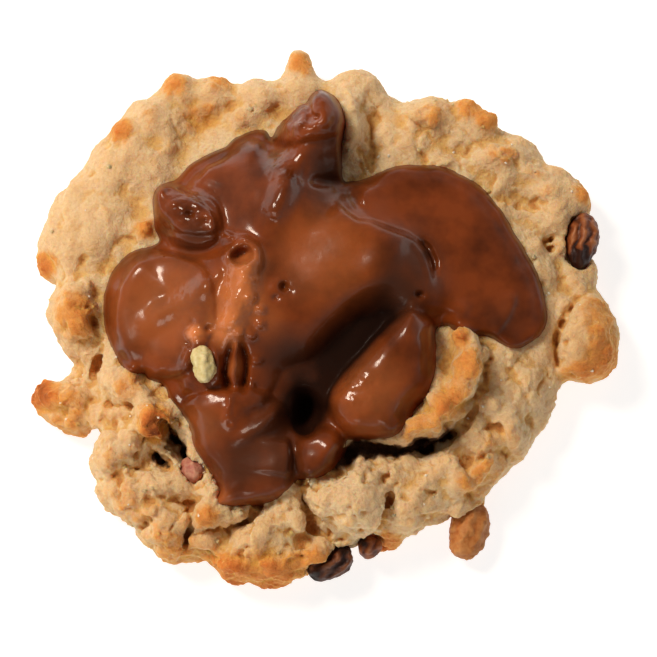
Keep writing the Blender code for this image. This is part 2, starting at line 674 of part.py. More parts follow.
def centre_on_origin(solids):
    """Move the pieces together so that the middle of their common box is over the origin."""
    places = [vert.co for solid in solids for vert in solid.data.vertices]
    shift = Vector((0.0, 0.0, 0.0))
    for axis in (0, 1):
        values = [place[axis] for place in places]
        shift[axis] = -0.5 * (min(values) + max(values))
    for solid in solids:
        solid.data.transform(Matrix.Translation(shift))


def build():
    """Make every piece and leave one named solid each in the cookie's collection."""
    fresh_scene()
    cookie = collection("pecan cookie with chocolate")
    helpers = collection("cutters", helper=True)

    full = make_dough(helpers)
    smooth = full.copy()
    smooth.data = full.data.copy()
    helpers.objects.link(smooth)
    soften(smooth, 25)
    thin_out(full, DOUGH_TRIANGLES)
    cut_floor(full, 0.0, helpers)
    chocolate = make_chocolate(smooth, full, helpers)
    bpy.data.objects.remove(smooth, do_unlink=True)

    draw = random.Random(7)
    nuts = {name: make_nut(name, lump, cookie, draw=draw) for name, lump in NUTS.items()}
    for name, nut in nuts.items():
        socket = grown(nut, GAP, name + " socket", helpers)
        boolean(full, socket, "DIFFERENCE")
        boolean(chocolate, socket, "DIFFERENCE")
        bpy.data.objects.remove(socket, do_unlink=True)
    largest_body(full)
    largest_body(chocolate)

    for solid in (full, chocolate):
        helpers.objects.unlink(solid)
        cookie.objects.link(solid)
    full.name = "dough"
    chocolate.name = "chocolate"
    full.data.materials.append(material("baked dough"))
    chocolate.data.materials.append(material("milk chocolate"))
    skins = {
        "east_pecan": "pecan skin",
        "south_pecan": "dark pecan skin",
        "south_pecan_half": "pecan skin",
        "toasted_nut": "toasted nut skin",
        "red_skinned_nut": "red nut skin",
        "bare_nutmeat": "pale nutmeat",
    }
    made = {}
    for name, nut in nuts.items():
        skin = skins[name]
        made[skin] = made.get(skin) or material(skin)
        nut.data.materials.append(made[skin])
    centre_on_origin(list(cookie.objects))
    for solid in cookie.objects:
        solid.data.shade_smooth()


build()
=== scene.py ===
"""A craggy drop cookie with nuts, half covered by a glossy run of milk chocolate.

Sizes are in millimetres unless a name says otherwise, and MM turns them into metres. Places marked as
seen are given in the picture plane of the photograph: x to the right, y up, from the cookie's middle.
"""
import logging
import math
from dataclasses import asdict, dataclass, field
from enum import Enum
from typing import Iterable, NamedTuple, Sequence

import bmesh
import bpy
import numpy as np
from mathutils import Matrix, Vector
from mathutils.bvhtree import BVHTree


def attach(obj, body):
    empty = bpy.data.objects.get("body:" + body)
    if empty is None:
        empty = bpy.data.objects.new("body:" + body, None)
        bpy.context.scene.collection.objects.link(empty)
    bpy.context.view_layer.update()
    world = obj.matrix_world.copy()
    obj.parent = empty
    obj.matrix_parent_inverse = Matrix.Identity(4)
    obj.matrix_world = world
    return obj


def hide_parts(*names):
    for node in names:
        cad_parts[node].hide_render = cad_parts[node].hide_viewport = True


LOG = logging.getLogger("cookie")

MM = 0.001
# The photographer looks down from 80 degrees, so the line of sight leans 10 degrees from upright.
VIEW_TILT = math.radians(10.0)
# Where the middle of the seen places lies on the table, and how wide the picture is there.
MIDDLE_SHIFT = (0.0, 0.2)
PICTURE_MM = 89.9
# Height above the cookie from which the map looks down.
LOOKOUT_MM = 80.0


class Spot(NamedTuple):
    """A round patch at a seen place, with a radius and a strength."""

    x: float
    y: float
    radius: float
    strength: float


class Cut(Enum):
    """How a form is drawn on a surface."""

    DOME = "swells from a closed outline; edge is the rounding of its border"
    LIP = "step, high on the left of its line; edge rounds it and flank is how far it fades"
    RIDGE = "bank along a line, a groove if rise is negative; edge is its half width, flank its slope"


class Form(NamedTuple):
    """A form drawn at seen places, with its rise towards the eye."""

    kind: Cut
    path: tuple[tuple[float, float], ...]
    rise: float
    edge: float
    flank: float = 0.0


class Knob(NamedTuple):
    """A round bump, or a pit if rise is negative: seen place, half sizes, rise and turn in degrees."""

    x: float
    y: float
    a: float
    b: float
    rise: float
    turn: float = 0.0


CHOCOLATE_EDGE = (
    (-7.3, 24.6), (-6.7, 26.3), (-5.6, 27.6), (-4.5, 28.5), (-3.4, 29.3), (-2.5, 29.7),
    (-1.9, 30.8), (-0.8, 31.7), (0.4, 31.3), (1.5, 30.4), (2.3, 28.7), (2.6, 26.7), (2.3,
    24.6), (2.2, 21.9), (2.5, 19.0), (3.7, 18.9), (5.6, 19.3), (7.3, 20.1), (8.8, 20.7),
    (10.7, 21.0), (12.4, 21.1), (15.9, 20.9), (18.6, 19.8), (21.2, 18.2), (23.4, 15.7),
    (24.8, 13.8), (25.9, 12.0), (28.0, 8.2), (29.5, 4.8), (30.2, 1.1), (30.2, -0.3), (29.5,
    -1.8), (28.0, -2.9), (25.9, -3.8), (24.2, -3.3), (22.4, -2.3), (19.6, -1.4), (17.4,
    -0.8), (15.7, -0.7), (14.9, -1.5), (15.0, -3.4), (14.9, -5.2), (14.6, -7.7), (13.7,
    -9.8), (12.0, -11.9), (10.5, -14.2), (9.2, -15.6), (6.7, -16.1), (4.2, -16.3), (3.0,
    -16.0), (2.6, -17.8), (1.6, -19.4), (0.1, -20.7), (-1.8, -21.3), (-3.6, -21.2), (-4.2,
    -21.9), (-5.3, -23.0), (-6.8, -24.2), (-8.6, -24.9), (-10.9, -25.0), (-13.0, -24.8),
    (-14.4, -24.5), (-14.0, -22.6), (-15.5, -20.5), (-16.7, -18.7), (-17.6, -17.0), (-18.1,
    -14.6), (-19.2, -12.4), (-20.8, -10.7), (-21.9, -8.8), (-23.7, -8.1), (-24.4, -7.1),
    (-25.9, -7.2), (-27.4, -6.3), (-28.6, -4.4), (-29.4, -2.7), (-30.0, -0.1), (-30.1, 3.0),
    (-29.7, 4.9), (-28.8, 6.8), (-27.4, 8.5), (-25.4, 9.6), (-23.4, 10.1), (-22.4, 10.9),
    (-23.0, 12.3), (-23.3, 14.4), (-23.5, 16.4), (-22.8, 18.1), (-21.5, 18.7), (-20.2,
    19.2), (-18.7, 21.1), (-16.3, 22.6), (-13.7, 23.7), (-12.4, 25.0), (-9.7, 25.9), (-8.1,
    25.9),
)


# Shared helpers


def linear(hex_colour: str) -> tuple[float, float, float, float]:
    """Turn an sRGB hex value into a linear colour with full alpha.

    Args:
        hex_colour: six hex figures.

    Returns:
        Linear red, green, blue and alpha.
    """
    parts = [int(hex_colour[i:i + 2], 16) / 255 for i in (0, 2, 4)]
    return tuple(p / 12.92 if p <= 0.04045 else ((p + 0.055) / 1.055) ** 2.4 for p in parts) + (1.0,)


def add_node(
    tree: bpy.types.NodeTree, kind: str, inputs: dict | None = None, **settings: object,
) -> bpy.types.Node:
    """Add a node, set it up and link what feeds it.

    Args:
        tree: shader or geometry tree.
        kind: the node's type name.
        inputs: values or output sockets, by input name or number.
        settings: properties of the node itself.

    Returns:
        The new node.
    """
    node = tree.nodes.new(kind)
    for name, value in settings.items():
        setattr(node, name, value)
    for key, value in (inputs or {}).items():
        socket = node.inputs[key]
        if isinstance(value, bpy.types.NodeSocket):
            tree.links.new(value, socket)
        else:
            socket.default_value = value
    return node


def colour_ramp(
    tree: bpy.types.NodeTree, factor: bpy.types.NodeSocket, stops: Sequence[tuple],
) -> bpy.types.Node:
    """Add a ramp through several colours.

    Args:
        tree: shader tree.
        factor: socket that drives it.
        stops: pairs of place and hex colour or grey value.

    Returns:
        The ramp node.
    """
    ramp = add_node(tree, "ShaderNodeValToRGB", {"Fac": factor})
    marks = ramp.color_ramp.elements
    while len(marks) < len(stops):
        marks.new(0.5)
    for mark, (place, value) in zip(marks, stops):
        mark.position = place
        mark.color = linear(value) if isinstance(value, str) else (value, value, value, 1.0)
    return ramp


def seen_places(points: np.ndarray) -> np.ndarray:
    """Picture-plane places of points of the solid.

    Args:
        points: n x 3 array in metres.

    Returns:
        n x 2 array in millimetres.
    """
    x = points[:, 0] / MM - MIDDLE_SHIFT[0]
    y = points[:, 1] / MM - MIDDLE_SHIFT[1]
    return np.stack([x, y * math.cos(VIEW_TILT) + points[:, 2] / MM * math.sin(VIEW_TILT)], axis=1)


def points_of(mesh: bpy.types.Mesh) -> np.ndarray:
    """Read the vertex places of a mesh.

    Args:
        mesh: the mesh.

    Returns:
        n x 3 array in metres.
    """
    flat = np.empty(len(mesh.vertices) * 3)
    mesh.vertices.foreach_get("co", flat)
    return flat.reshape(-1, 3)


def normals_of(mesh: bpy.types.Mesh) -> np.ndarray:
    """Read the vertex normals of a mesh.

    Args:
        mesh: the mesh.

    Returns:
        n x 3 array of unit vectors.
    """
    flat = np.empty(len(mesh.vertices) * 3)
    mesh.vertices.foreach_get("normal", flat)
    return flat.reshape(-1, 3)


def put_points(mesh: bpy.types.Mesh, points: np.ndarray) -> None:
    """Write vertex places back to a mesh.

    Args:
        mesh: the mesh to change.
        points: n x 3 array in metres.
    """
    mesh.vertices.foreach_set("co", points.ravel())
    mesh.update()


def put_values(mesh: bpy.types.Mesh, name: str, values: np.ndarray) -> None:
    """Store one number per vertex under a name.

    Args:
        mesh: the mesh to change.
        name: attribute name.
        values: one number for each vertex.
    """
    layer = mesh.attributes.get(name) or mesh.attributes.new(name, "FLOAT", "POINT")
    layer.data.foreach_set("value", values.astype(np.float32))


def values_of(mesh: bpy.types.Mesh, name: str) -> np.ndarray:
    """Read one stored number per vertex.

    Args:
        mesh: the mesh.
        name: attribute name.

    Returns:
        One number for each vertex.
    """
    values = np.empty(len(mesh.vertices), dtype=np.float32)
    mesh.attributes[name].data.foreach_get("value", values)
    return values


def soft_step(values: np.ndarray, low: float, high: float) -> np.ndarray:
    """Smooth rise from 0 at low to 1 at high."""
    t = np.clip((values - low) / (high - low), 0.0, 1.0)
    return t * t * (3.0 - 2.0 * t)


def patches(places: np.ndarray, spots: Iterable[Spot]) -> np.ndarray:
    """Sum of soft round patches at seen places.

    Args:
        places: n x 2 array.
        spots: the patches.

    Returns:
        n strengths.
    """
    total = np.zeros(len(places))
    for spot in spots:
        away = np.hypot(places[:, 0] - spot.x, places[:, 1] - spot.y)
        total += spot.strength * (1.0 - soft_step(away, 0.2 * spot.radius, 1.1 * spot.radius))
    return total


def new_object(name: str, mesh: bpy.types.Mesh) -> bpy.types.Object:
    """Link a mesh into the scene as an object at the origin.

    Args:
        name: name of the object.
        mesh: its mesh.

    Returns:
        The new object.
    """
    made = bpy.data.objects.new(name, mesh)
    bpy.context.scene.collection.objects.link(made)
    return made


def from_bmesh(name: str, bm: bmesh.types.BMesh) -> bpy.types.Object:
    """Turn a bmesh into an object and free it.

    Args:
        name: name of the object.
        bm: the bmesh, which is used up.

    Returns:
        The new object.
    """
    mesh = bpy.data.meshes.new(name)
    bm.to_mesh(mesh)
    bm.free()
    return new_object(name, mesh)


def merged_copy(node: str, name: str) -> bpy.types.Object:
    """Copy a solid of the frame with its loose triangles merged.

    Args:
        node: name of the solid.
        name: name of the copy.

    Returns:
        The new object.
    """
    bm = bmesh.new()
    bm.from_mesh(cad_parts[node].data)
    bmesh.ops.remove_doubles(bm, verts=bm.verts, dist=1e-6)
    return from_bmesh(name, bm)


def settle(ob: bpy.types.Object) -> bpy.types.Object:
    """Turn an object's modifiers into its plain mesh.

    Args:
        ob: the object.

    Returns:
        The same object.
    """
    bpy.context.view_layer.update()
    shown = ob.evaluated_get(bpy.context.evaluated_depsgraph_get())
    mesh = bpy.data.meshes.new_from_object(shown)
    ob.modifiers.clear()
    ob.data = mesh
    return ob


def voxels(ob: bpy.types.Object, size: float) -> bpy.types.Object:
    """Weld all that overlaps into one even skin.

    Args:
        ob: the object.
        size: grain of the skin in millimetres.

    Returns:
        The same object.
    """
    mod = ob.modifiers.new("skin", "REMESH")
    mod.mode = "VOXEL"
    mod.voxel_size = size * MM
    mod.use_smooth_shade = True
    return settle(ob)


def soften(ob: bpy.types.Object, rounds: int, factor: float = 0.5) -> bpy.types.Object:
    """Round off creases by repeated averaging.

    Args:
        ob: the object.
        rounds: how often it is averaged.
        factor: how far each round goes.

    Returns:
        The same object.
    """
    mod = ob.modifiers.new("soften", "SMOOTH")
    mod.factor = factor
    mod.iterations = rounds
    return settle(ob)


def thin_out(ob: bpy.types.Object, triangles: int, hidden: np.ndarray | None = None) -> bpy.types.Object:
    """Reduce a mesh to about a number of triangles, flat parts first.

    Args:
        ob: the object.
        triangles: how many stay.
        hidden: true at the vertices that nobody sees, which give way first.

    Returns:
        The same object.
    """
    now = sum(len(p.vertices) - 2 for p in ob.data.polygons)
    if now <= triangles:
        return ob
    mod = ob.modifiers.new("thin out", "DECIMATE")
    mod.ratio = triangles / now
    mod.use_collapse_triangulate = True
    if hidden is not None:
        group = ob.vertex_groups.new(name="spare")
        group.add(np.flatnonzero(hidden).tolist(), 1.0, "REPLACE")
        group.add(np.flatnonzero(~hidden).tolist(), 0.12, "REPLACE")
        mod.vertex_group = group.name
    return settle(ob)


def towards_eye() -> Vector:
    """Direction from the cookie to the photographer."""
    return Vector((0.0, -math.sin(VIEW_TILT), math.cos(VIEW_TILT)))


def tree_of(ob: bpy.types.Object) -> BVHTree:
    """Build the search tree of an object's faces.

    Args:
        ob: the object.

    Returns:
        The tree.
    """
    bm = bmesh.new()
    bm.from_mesh(ob.data)
    tree = BVHTree.FromBMesh(bm)
    bm.free()
    return tree


def smooth_loop(corners: Sequence[tuple[float, float]], steps: int = 5) -> np.ndarray:
    """Round curve through the corners of a closed outline.

    Args:
        corners: seen places in order.
        steps: points for each span.

    Returns:
        n x 2 array of points.
    """
    p = np.array(corners)
    before, after, beyond = np.roll(p, 1, axis=0), np.roll(p, -1, axis=0), np.roll(p, -2, axis=0)
    t = np.linspace(0.0, 1.0, steps, endpoint=False)[None, :, None]
    a, b, c, d = (q[:, None, :] for q in (before, p, after, beyond))
    curve = 0.5 * (2 * b + (c - a) * t + (2 * a - 5 * b + 4 * c - d) * t ** 2
                   + (3 * b - a - 3 * c + d) * t ** 3)
    return curve.reshape(-1, 2)


def rounded(depth: np.ndarray, edge: float) -> np.ndarray:
    """Rounded profile: 0 and steep at the border, 1 and level from one edge width inside."""
    return np.sqrt(1.0 - (1.0 - np.clip(depth / edge, 0.0, 1.0)) ** 3)


@dataclass
class SeenMap:
    """A map over the picture plane on which forms are drawn as heights towards the eye."""

    half: float = 43.0
    step: float = 0.2
    ragged: float = 0.0
    ragged_mm: float = 1.0
    seed: int = 3

    def __post_init__(self) -> None:
        """Lay out the grid and the wander of the edges."""
        count = int(round(2 * self.half / self.step)) + 1
        line = np.linspace(-self.half, self.half, count)
        self.x, self.y = np.meshgrid(line, line)
        dice = np.random.default_rng(self.seed)
        coarse, fine = self.ragged_mm, 0.3 * self.ragged_mm
        self.wander = [
            self.ragged * (self._noise(dice, coarse) + 0.4 * self._noise(dice, fine)) for _ in range(2)]
        self.swell = np.clip(1.0 + 0.35 * self._noise(dice, 2.0 * self.ragged_mm), 0.3, 1.8)

    def _noise(self, dice: np.random.Generator, size_mm: float) -> np.ndarray:
        """Even noise of unit strength with features of a given size."""
        noise = self.blurred(dice.standard_normal(self.x.shape), 0.5 * size_mm)
        return noise / noise.std()

    def blurred(self, values: np.ndarray, spread_mm: float) -> np.ndarray:
        """Average values over a soft round patch.

        Args:
            values: the map.
            spread_mm: size of the patch.

        Returns:
            The softened map.
        """
        fx = np.fft.rfftfreq(values.shape[1], self.step)[None, :]
        fy = np.fft.fftfreq(values.shape[0], self.step)[:, None]
        gain = np.exp(-2.0 * (math.pi * spread_mm) ** 2 * (fx ** 2 + fy ** 2))
        return np.fft.irfft2(np.fft.rfft2(values) * gain, s=values.shape)

    def filled(self, values: np.ndarray, spread_mm: float) -> np.ndarray:
        """Average what is known and carry it into what isn't.

        Args:
            values: heights, not-a-number where nothing was seen.
            spread_mm: size of the patch.

        Returns:
            Heights everywhere.
        """
        known = ~np.isnan(values)
        total = self.blurred(np.where(known, values, 0.0), spread_mm)
        share = self.blurred(known.astype(float), spread_mm)
        return total / np.maximum(share, 1e-9)

    def cast(self, tree: BVHTree) -> np.ndarray:
        """Height towards the eye of the surface seen at each place.

        Args:
            tree: search tree of the surface.

        Returns:
            Heights in millimetres, not-a-number beside the surface.
        """
        eye = towards_eye()
        up_picture = Vector((0.0, math.cos(VIEW_TILT), math.sin(VIEW_TILT)))
        middle = Vector((MIDDLE_SHIFT[0], MIDDLE_SHIFT[1], 0.0))
        heights = np.full(self.x.size, np.nan)
        for i, (x, y) in enumerate(zip(self.x.ravel(), self.y.ravel())):
            start = (middle + Vector((x, 0.0, 0.0)) + up_picture * y + eye * LOOKOUT_MM) * MM
            hit = tree.ray_cast(start, -eye)
            if hit[0] is not None:
                heights[i] = LOOKOUT_MM - hit[3] / MM
        return heights.reshape(self.x.shape)

    def depth_inside(self, corners: Sequence[tuple[float, float]], margin: float = 4.0) -> np.ndarray:
        """How deep each place lies inside an outline, negative outside.

        Args:
            corners: the closed outline.
            margin: how far outside it is still measured.

        Returns:
            Depth in millimetres.
        """
        loop = smooth_loop(corners)
        low, high = loop.min(axis=0) - margin, loop.max(axis=0) + margin
        box = (self.x > low[0]) & (self.x < high[0]) & (self.y > low[1]) & (self.y < high[1])
        xs, ys = self.x[box] + self.wander[0][box], self.y[box] + self.wander[1][box]
        nearest, odd = np.full(xs.shape, 1e9), np.zeros(xs.shape, bool)
        for (ax, ay), (bx, by) in zip(loop, np.roll(loop, -1, axis=0)):
            dx, dy = bx - ax, by - ay
            t = np.clip(((xs - ax) * dx + (ys - ay) * dy) / max(dx * dx + dy * dy, 1e-12), 0.0, 1.0)
            nearest = np.minimum(nearest, (xs - ax - t * dx) ** 2 + (ys - ay - t * dy) ** 2)
            odd ^= ((ay > ys) != (by > ys)) & (xs < dx * (ys - ay) / (dy if dy else 1e-12) + ax)
        depth = np.full(self.x.shape, -margin)
        depth[box] = np.where(odd, np.sqrt(nearest), -np.sqrt(nearest))
        return np.maximum(depth, -margin)

    def along(self, path: Sequence[tuple[float, float]]) -> tuple[np.ndarray, np.ndarray, np.ndarray]:
        """Distance to a line, the side on which a place lies, and how far along the line it is.

        Args:
            path: corners of the line.

        Returns:
            Distance, side (1 left, -1 right) and share of the line's length.
        """
        xs, ys = self.x + self.wander[0], self.y + self.wander[1]
        p = np.array(path)
        lengths = np.linalg.norm(np.diff(p, axis=0), axis=1)
        best, side, share = np.full(xs.shape, 1e9), np.ones(xs.shape), np.zeros(xs.shape)
        walked = 0.0
        for (ax, ay), (bx, by), length in zip(p, p[1:], lengths):
            dx, dy = bx - ax, by - ay
            t = np.clip(((xs - ax) * dx + (ys - ay) * dy) / (length * length), 0.0, 1.0)
            away = np.hypot(xs - ax - t * dx, ys - ay - t * dy)
            closer = away < best
            best = np.where(closer, away, best)
            side = np.where(closer, np.sign(dx * (ys - ay) - dy * (xs - ax)), side)
            share = np.where(closer, (walked + t * length) / lengths.sum(), share)
            walked += length
        return best, side, share

    def drawn(self, forms: Iterable[Form]) -> np.ndarray:
        """Heights of forms drawn one over another.

        Args:
            forms: the forms.

        Returns:
            Their summed heights in millimetres.
        """
        total = np.zeros(self.x.shape)
        for form in forms:
            if form.kind is Cut.DOME:
                total += form.rise * rounded(self.depth_inside(form.path), form.edge)
                continue
            away, side, share = self.along(form.path)
            ends = soft_step(share, -0.01, 0.16) * (1.0 - soft_step(share, 0.84, 1.01))
            if form.kind is Cut.LIP:
                depth = away * side
                total += form.rise * rounded(depth, form.edge) * np.exp(-(depth / form.flank) ** 2) * ends
            else:
                reach = away / (self.swell if self.ragged > 0.1 else 1.0)
                profile = 1.0 - soft_step(reach, form.edge - form.flank, form.edge)
                total += form.rise * profile * (0.35 + 0.65 * ends)
        return total

    def knobbed(self, knobs: Iterable[Knob]) -> np.ndarray:
        """Heights of round bumps and pits.

        Args:
            knobs: the bumps and pits.

        Returns:
            Their summed heights in millimetres.
        """
        total = np.zeros(self.x.shape)
        for knob in knobs:
            turn = math.radians(knob.turn)
            dx, dy = self.x + self.wander[0] - knob.x, self.y + self.wander[1] - knob.y
            u = (dx * math.cos(turn) + dy * math.sin(turn)) / knob.a
            v = (dy * math.cos(turn) - dx * math.sin(turn)) / knob.b
            away = np.hypot(u, v)
            if knob.rise > 0:
                total += knob.rise * np.clip(1.0 - away ** 2, 0.0, 1.0) ** 0.8
            else:
                total += knob.rise * (1.0 - soft_step(away, 0.35, 1.05))
        return total

    def sampled(self, values: np.ndarray, places: np.ndarray) -> np.ndarray:
        """Read a map at seen places, blending its four nearest values.

        Args:
            values: the map.
            places: n x 2 array.

        Returns:
            n values.
        """
        last = self.x.shape[0] - 1
        u = np.clip((places[:, 0] + self.half) / self.step, 0, last - 1e-6)
        v = np.clip((places[:, 1] + self.half) / self.step, 0, last - 1e-6)
        i, j = v.astype(int), u.astype(int)
        s, t = v - i, u - j
        return ((values[i, j] * (1 - t) + values[i, j + 1] * t) * (1 - s)
                + (values[i + 1, j] * (1 - t) + values[i + 1, j + 1] * t) * s)

    def slab(self, name: str, inside: np.ndarray, top: np.ndarray, bottom: np.ndarray) -> bpy.types.Object:
        """Closed body between two height maps.

        Args:
            name: name of the object.
            inside: which places belong to it.
            top: heights of its upper skin.
            bottom: heights of its lower skin.

        Returns:
            The new object.
        """
        cell = inside[:-1, :-1] & inside[1:, :-1] & inside[:-1, 1:] & inside[1:, 1:]
        number = np.arange(inside.size).reshape(inside.shape)
        corners = [number[:-1, :-1][cell], number[:-1, 1:][cell], number[1:, 1:][cell], number[1:, :-1][cell]]
        quads = np.stack(corners, axis=1)
        starts, ends = quads.ravel(), np.roll(quads, -1, axis=1).ravel()
        known = set(zip(ends.tolist(), starts.tolist()))
        rim = np.array([pair for pair in zip(starts.tolist(), ends.tolist()) if pair not in known])
        used, flat = np.unique(quads, return_inverse=True)
        flat = flat.reshape(quads.shape)
        place = {old: new for new, old in enumerate(used.tolist())}
        rim = np.vectorize(place.get)(rim)
        count = len(used)
        sides = np.stack([rim[:, 1], rim[:, 0], rim[:, 0] + count, rim[:, 1] + count], axis=1)
        faces = np.concatenate([flat, flat[:, ::-1] + count, sides])
        x, y = np.tile(self.x.ravel()[used], 2), np.tile(self.y.ravel()[used], 2)
        w = np.concatenate([top.ravel()[used], bottom.ravel()[used]])
        cos, sin = math.cos(VIEW_TILT), math.sin(VIEW_TILT)
        points = np.stack([
            x + MIDDLE_SHIFT[0], y * cos - w * sin + MIDDLE_SHIFT[1], y * sin + w * cos], axis=1)
        mesh = bpy.data.meshes.new(name)
        mesh.from_pydata((points * MM).tolist(), [], faces.tolist())
        return new_object(name, mesh)


# Finishes


@dataclass(frozen=True)
class BakedDough:
    """Baked butter dough: a dry, pale crumb that browns at tips and rim, with a dull broken surface."""

    name: str = "baked_cookie_dough"
    pale: str = "DEBA96"
    body: str = "D0A374"
    golden: str = "D08B47"
    deep: str = "B2662B"
    burnt: str = "6A3110"
    # Amber of the butter, also used as painted shade between the crumbs.
    honey_and_shade: str = "D29842"
    # Painted shade deep in the hollows.
    crevice_shade: str = "A4662C"
    shadow: str = "2A1408"
    grain_mm: float = 0.45
    crumb_mm: float = 1.3
    patch_mm: float = 9.0

    def material(self) -> bpy.types.Material:
        """Build the node tree.

        Returns:
            The material.
        """
        made = bpy.data.materials.new(self.name)
        made.use_nodes = True
        tree = made.node_tree
        tree.nodes.clear()
        place = add_node(tree, "ShaderNodeTexCoord").outputs["Object"]
        toast = add_node(tree, "ShaderNodeAttribute", attribute_name="toast").outputs["Fac"]
        hollow = add_node(tree, "ShaderNodeAttribute", attribute_name="hollow").outputs["Fac"]
        patch = add_node(tree, "ShaderNodeTexNoise", {
            "Vector": place, "Scale": 1000 / self.patch_mm, "Detail": 3.0, "Roughness": 0.6})
        crumb = add_node(tree, "ShaderNodeTexNoise", {
            "Vector": place, "Scale": 1000 / self.crumb_mm, "Detail": 4.0, "Roughness": 0.65})
        grain = add_node(tree, "ShaderNodeTexNoise", {
            "Vector": place, "Scale": 1000 / self.grain_mm, "Detail": 2.0, "Roughness": 0.7})
        # Pale flour-and-butter crumb, patchy over a few millimetres.
        mottle = add_node(tree, "ShaderNodeMath", {
            0: patch.outputs["Fac"], 1: crumb.outputs["Fac"]}, operation="ADD")
        base = colour_ramp(tree, add_node(tree, "ShaderNodeMath", {
            0: mottle.outputs[0], 1: 0.5}, operation="MULTIPLY").outputs[0],
            [(0.36, self.body), (0.56, self.pale)])
        # Browning follows the toast attribute, broken up by the crumb so that it has no clean edge.
        broken = add_node(tree, "ShaderNodeMath", {
            0: mottle.outputs[0], 1: 0.62, 2: -0.6}, operation="MULTIPLY_ADD")
        browned = add_node(tree, "ShaderNodeMath", {0: toast, 1: broken.outputs[0]}, operation="ADD")
        brown = colour_ramp(tree, add_node(tree, "ShaderNodeMath", {
            0: browned.outputs[0], 1: 0.66}, operation="MULTIPLY").outputs[0],
            [(0.12, self.body), (0.34, self.golden), (0.62, self.deep), (0.92, self.burnt)])
        amount = add_node(tree, "ShaderNodeMapRange", {
            "Value": browned.outputs[0], "From Min": 0.05, "From Max": 0.42})
        baked = add_node(tree, "ShaderNodeMix", {
            "Factor": amount.outputs[0], "A": base.outputs[0], "B": brown.outputs[0]}, data_type="RGBA")
        # Between the crumbs an amber tint, partly the butter's colour and partly painted shade, and deeper in
        # a hollow a darker painted shade.
        between = add_node(tree, "ShaderNodeMapRange", {
            "Value": hollow, "From Min": 0.05, "From Max": 0.6, "To Max": 0.62})
        honey_shaded = add_node(tree, "ShaderNodeMix", {
            "Factor": between.outputs[0], "A": baked.outputs[2], "B": linear(self.honey_and_shade)}, data_type="RGBA")
        inside = add_node(tree, "ShaderNodeMapRange", {
            "Value": hollow, "From Min": 0.7, "From Max": 2.0, "To Max": 0.8})
        crevice_shaded = add_node(tree, "ShaderNodeMix", {
            "Factor": inside.outputs[0], "A": honey_shaded.outputs[2], "B": linear(self.crevice_shade)},
            data_type="RGBA")
        # Painted shadow, near black, inside the deepest drawn cracks and pits.
        crack = add_node(tree, "ShaderNodeAttribute", attribute_name="deep").outputs["Fac"]
        crack_shadowed = add_node(tree, "ShaderNodeMix", {
            "Factor": crack, "A": crevice_shaded.outputs[2], "B": linear(self.shadow)}, data_type="RGBA")
        # Single grains of sugar and flour, lighter and darker than their neighbours.
        fleck = colour_ramp(tree, grain.outputs["Fac"], [(0.3, 0.62), (0.5, 0.8), (0.72, 0.98)])
        coloured = add_node(tree, "ShaderNodeMix", {
            "Factor": 0.42, "A": crack_shadowed.outputs[2], "B": fleck.outputs[0]},
            data_type="RGBA", blend_type="OVERLAY")
        relief = add_node(tree, "ShaderNodeMath", {
            0: crumb.outputs["Fac"], 1: grain.outputs["Fac"]}, operation="ADD")
        bump = add_node(tree, "ShaderNodeBump", {
            "Height": relief.outputs[0], "Strength": 0.8, "Distance": 0.36 * MM})
        shader = add_node(tree, "ShaderNodeBsdfPrincipled", {
            "Base Color": coloured.outputs[2], "Normal": bump.outputs[0],
            "Roughness": 0.82, "IOR": 1.42, "Specular IOR Level": 0.35,
            "Subsurface Weight": 0.6, "Subsurface Radius": (1.0, 0.58, 0.3), "Subsurface Scale": 2.2 * MM})
        add_node(tree, "ShaderNodeOutputMaterial", {"Surface": shader.outputs[0]})
        return made


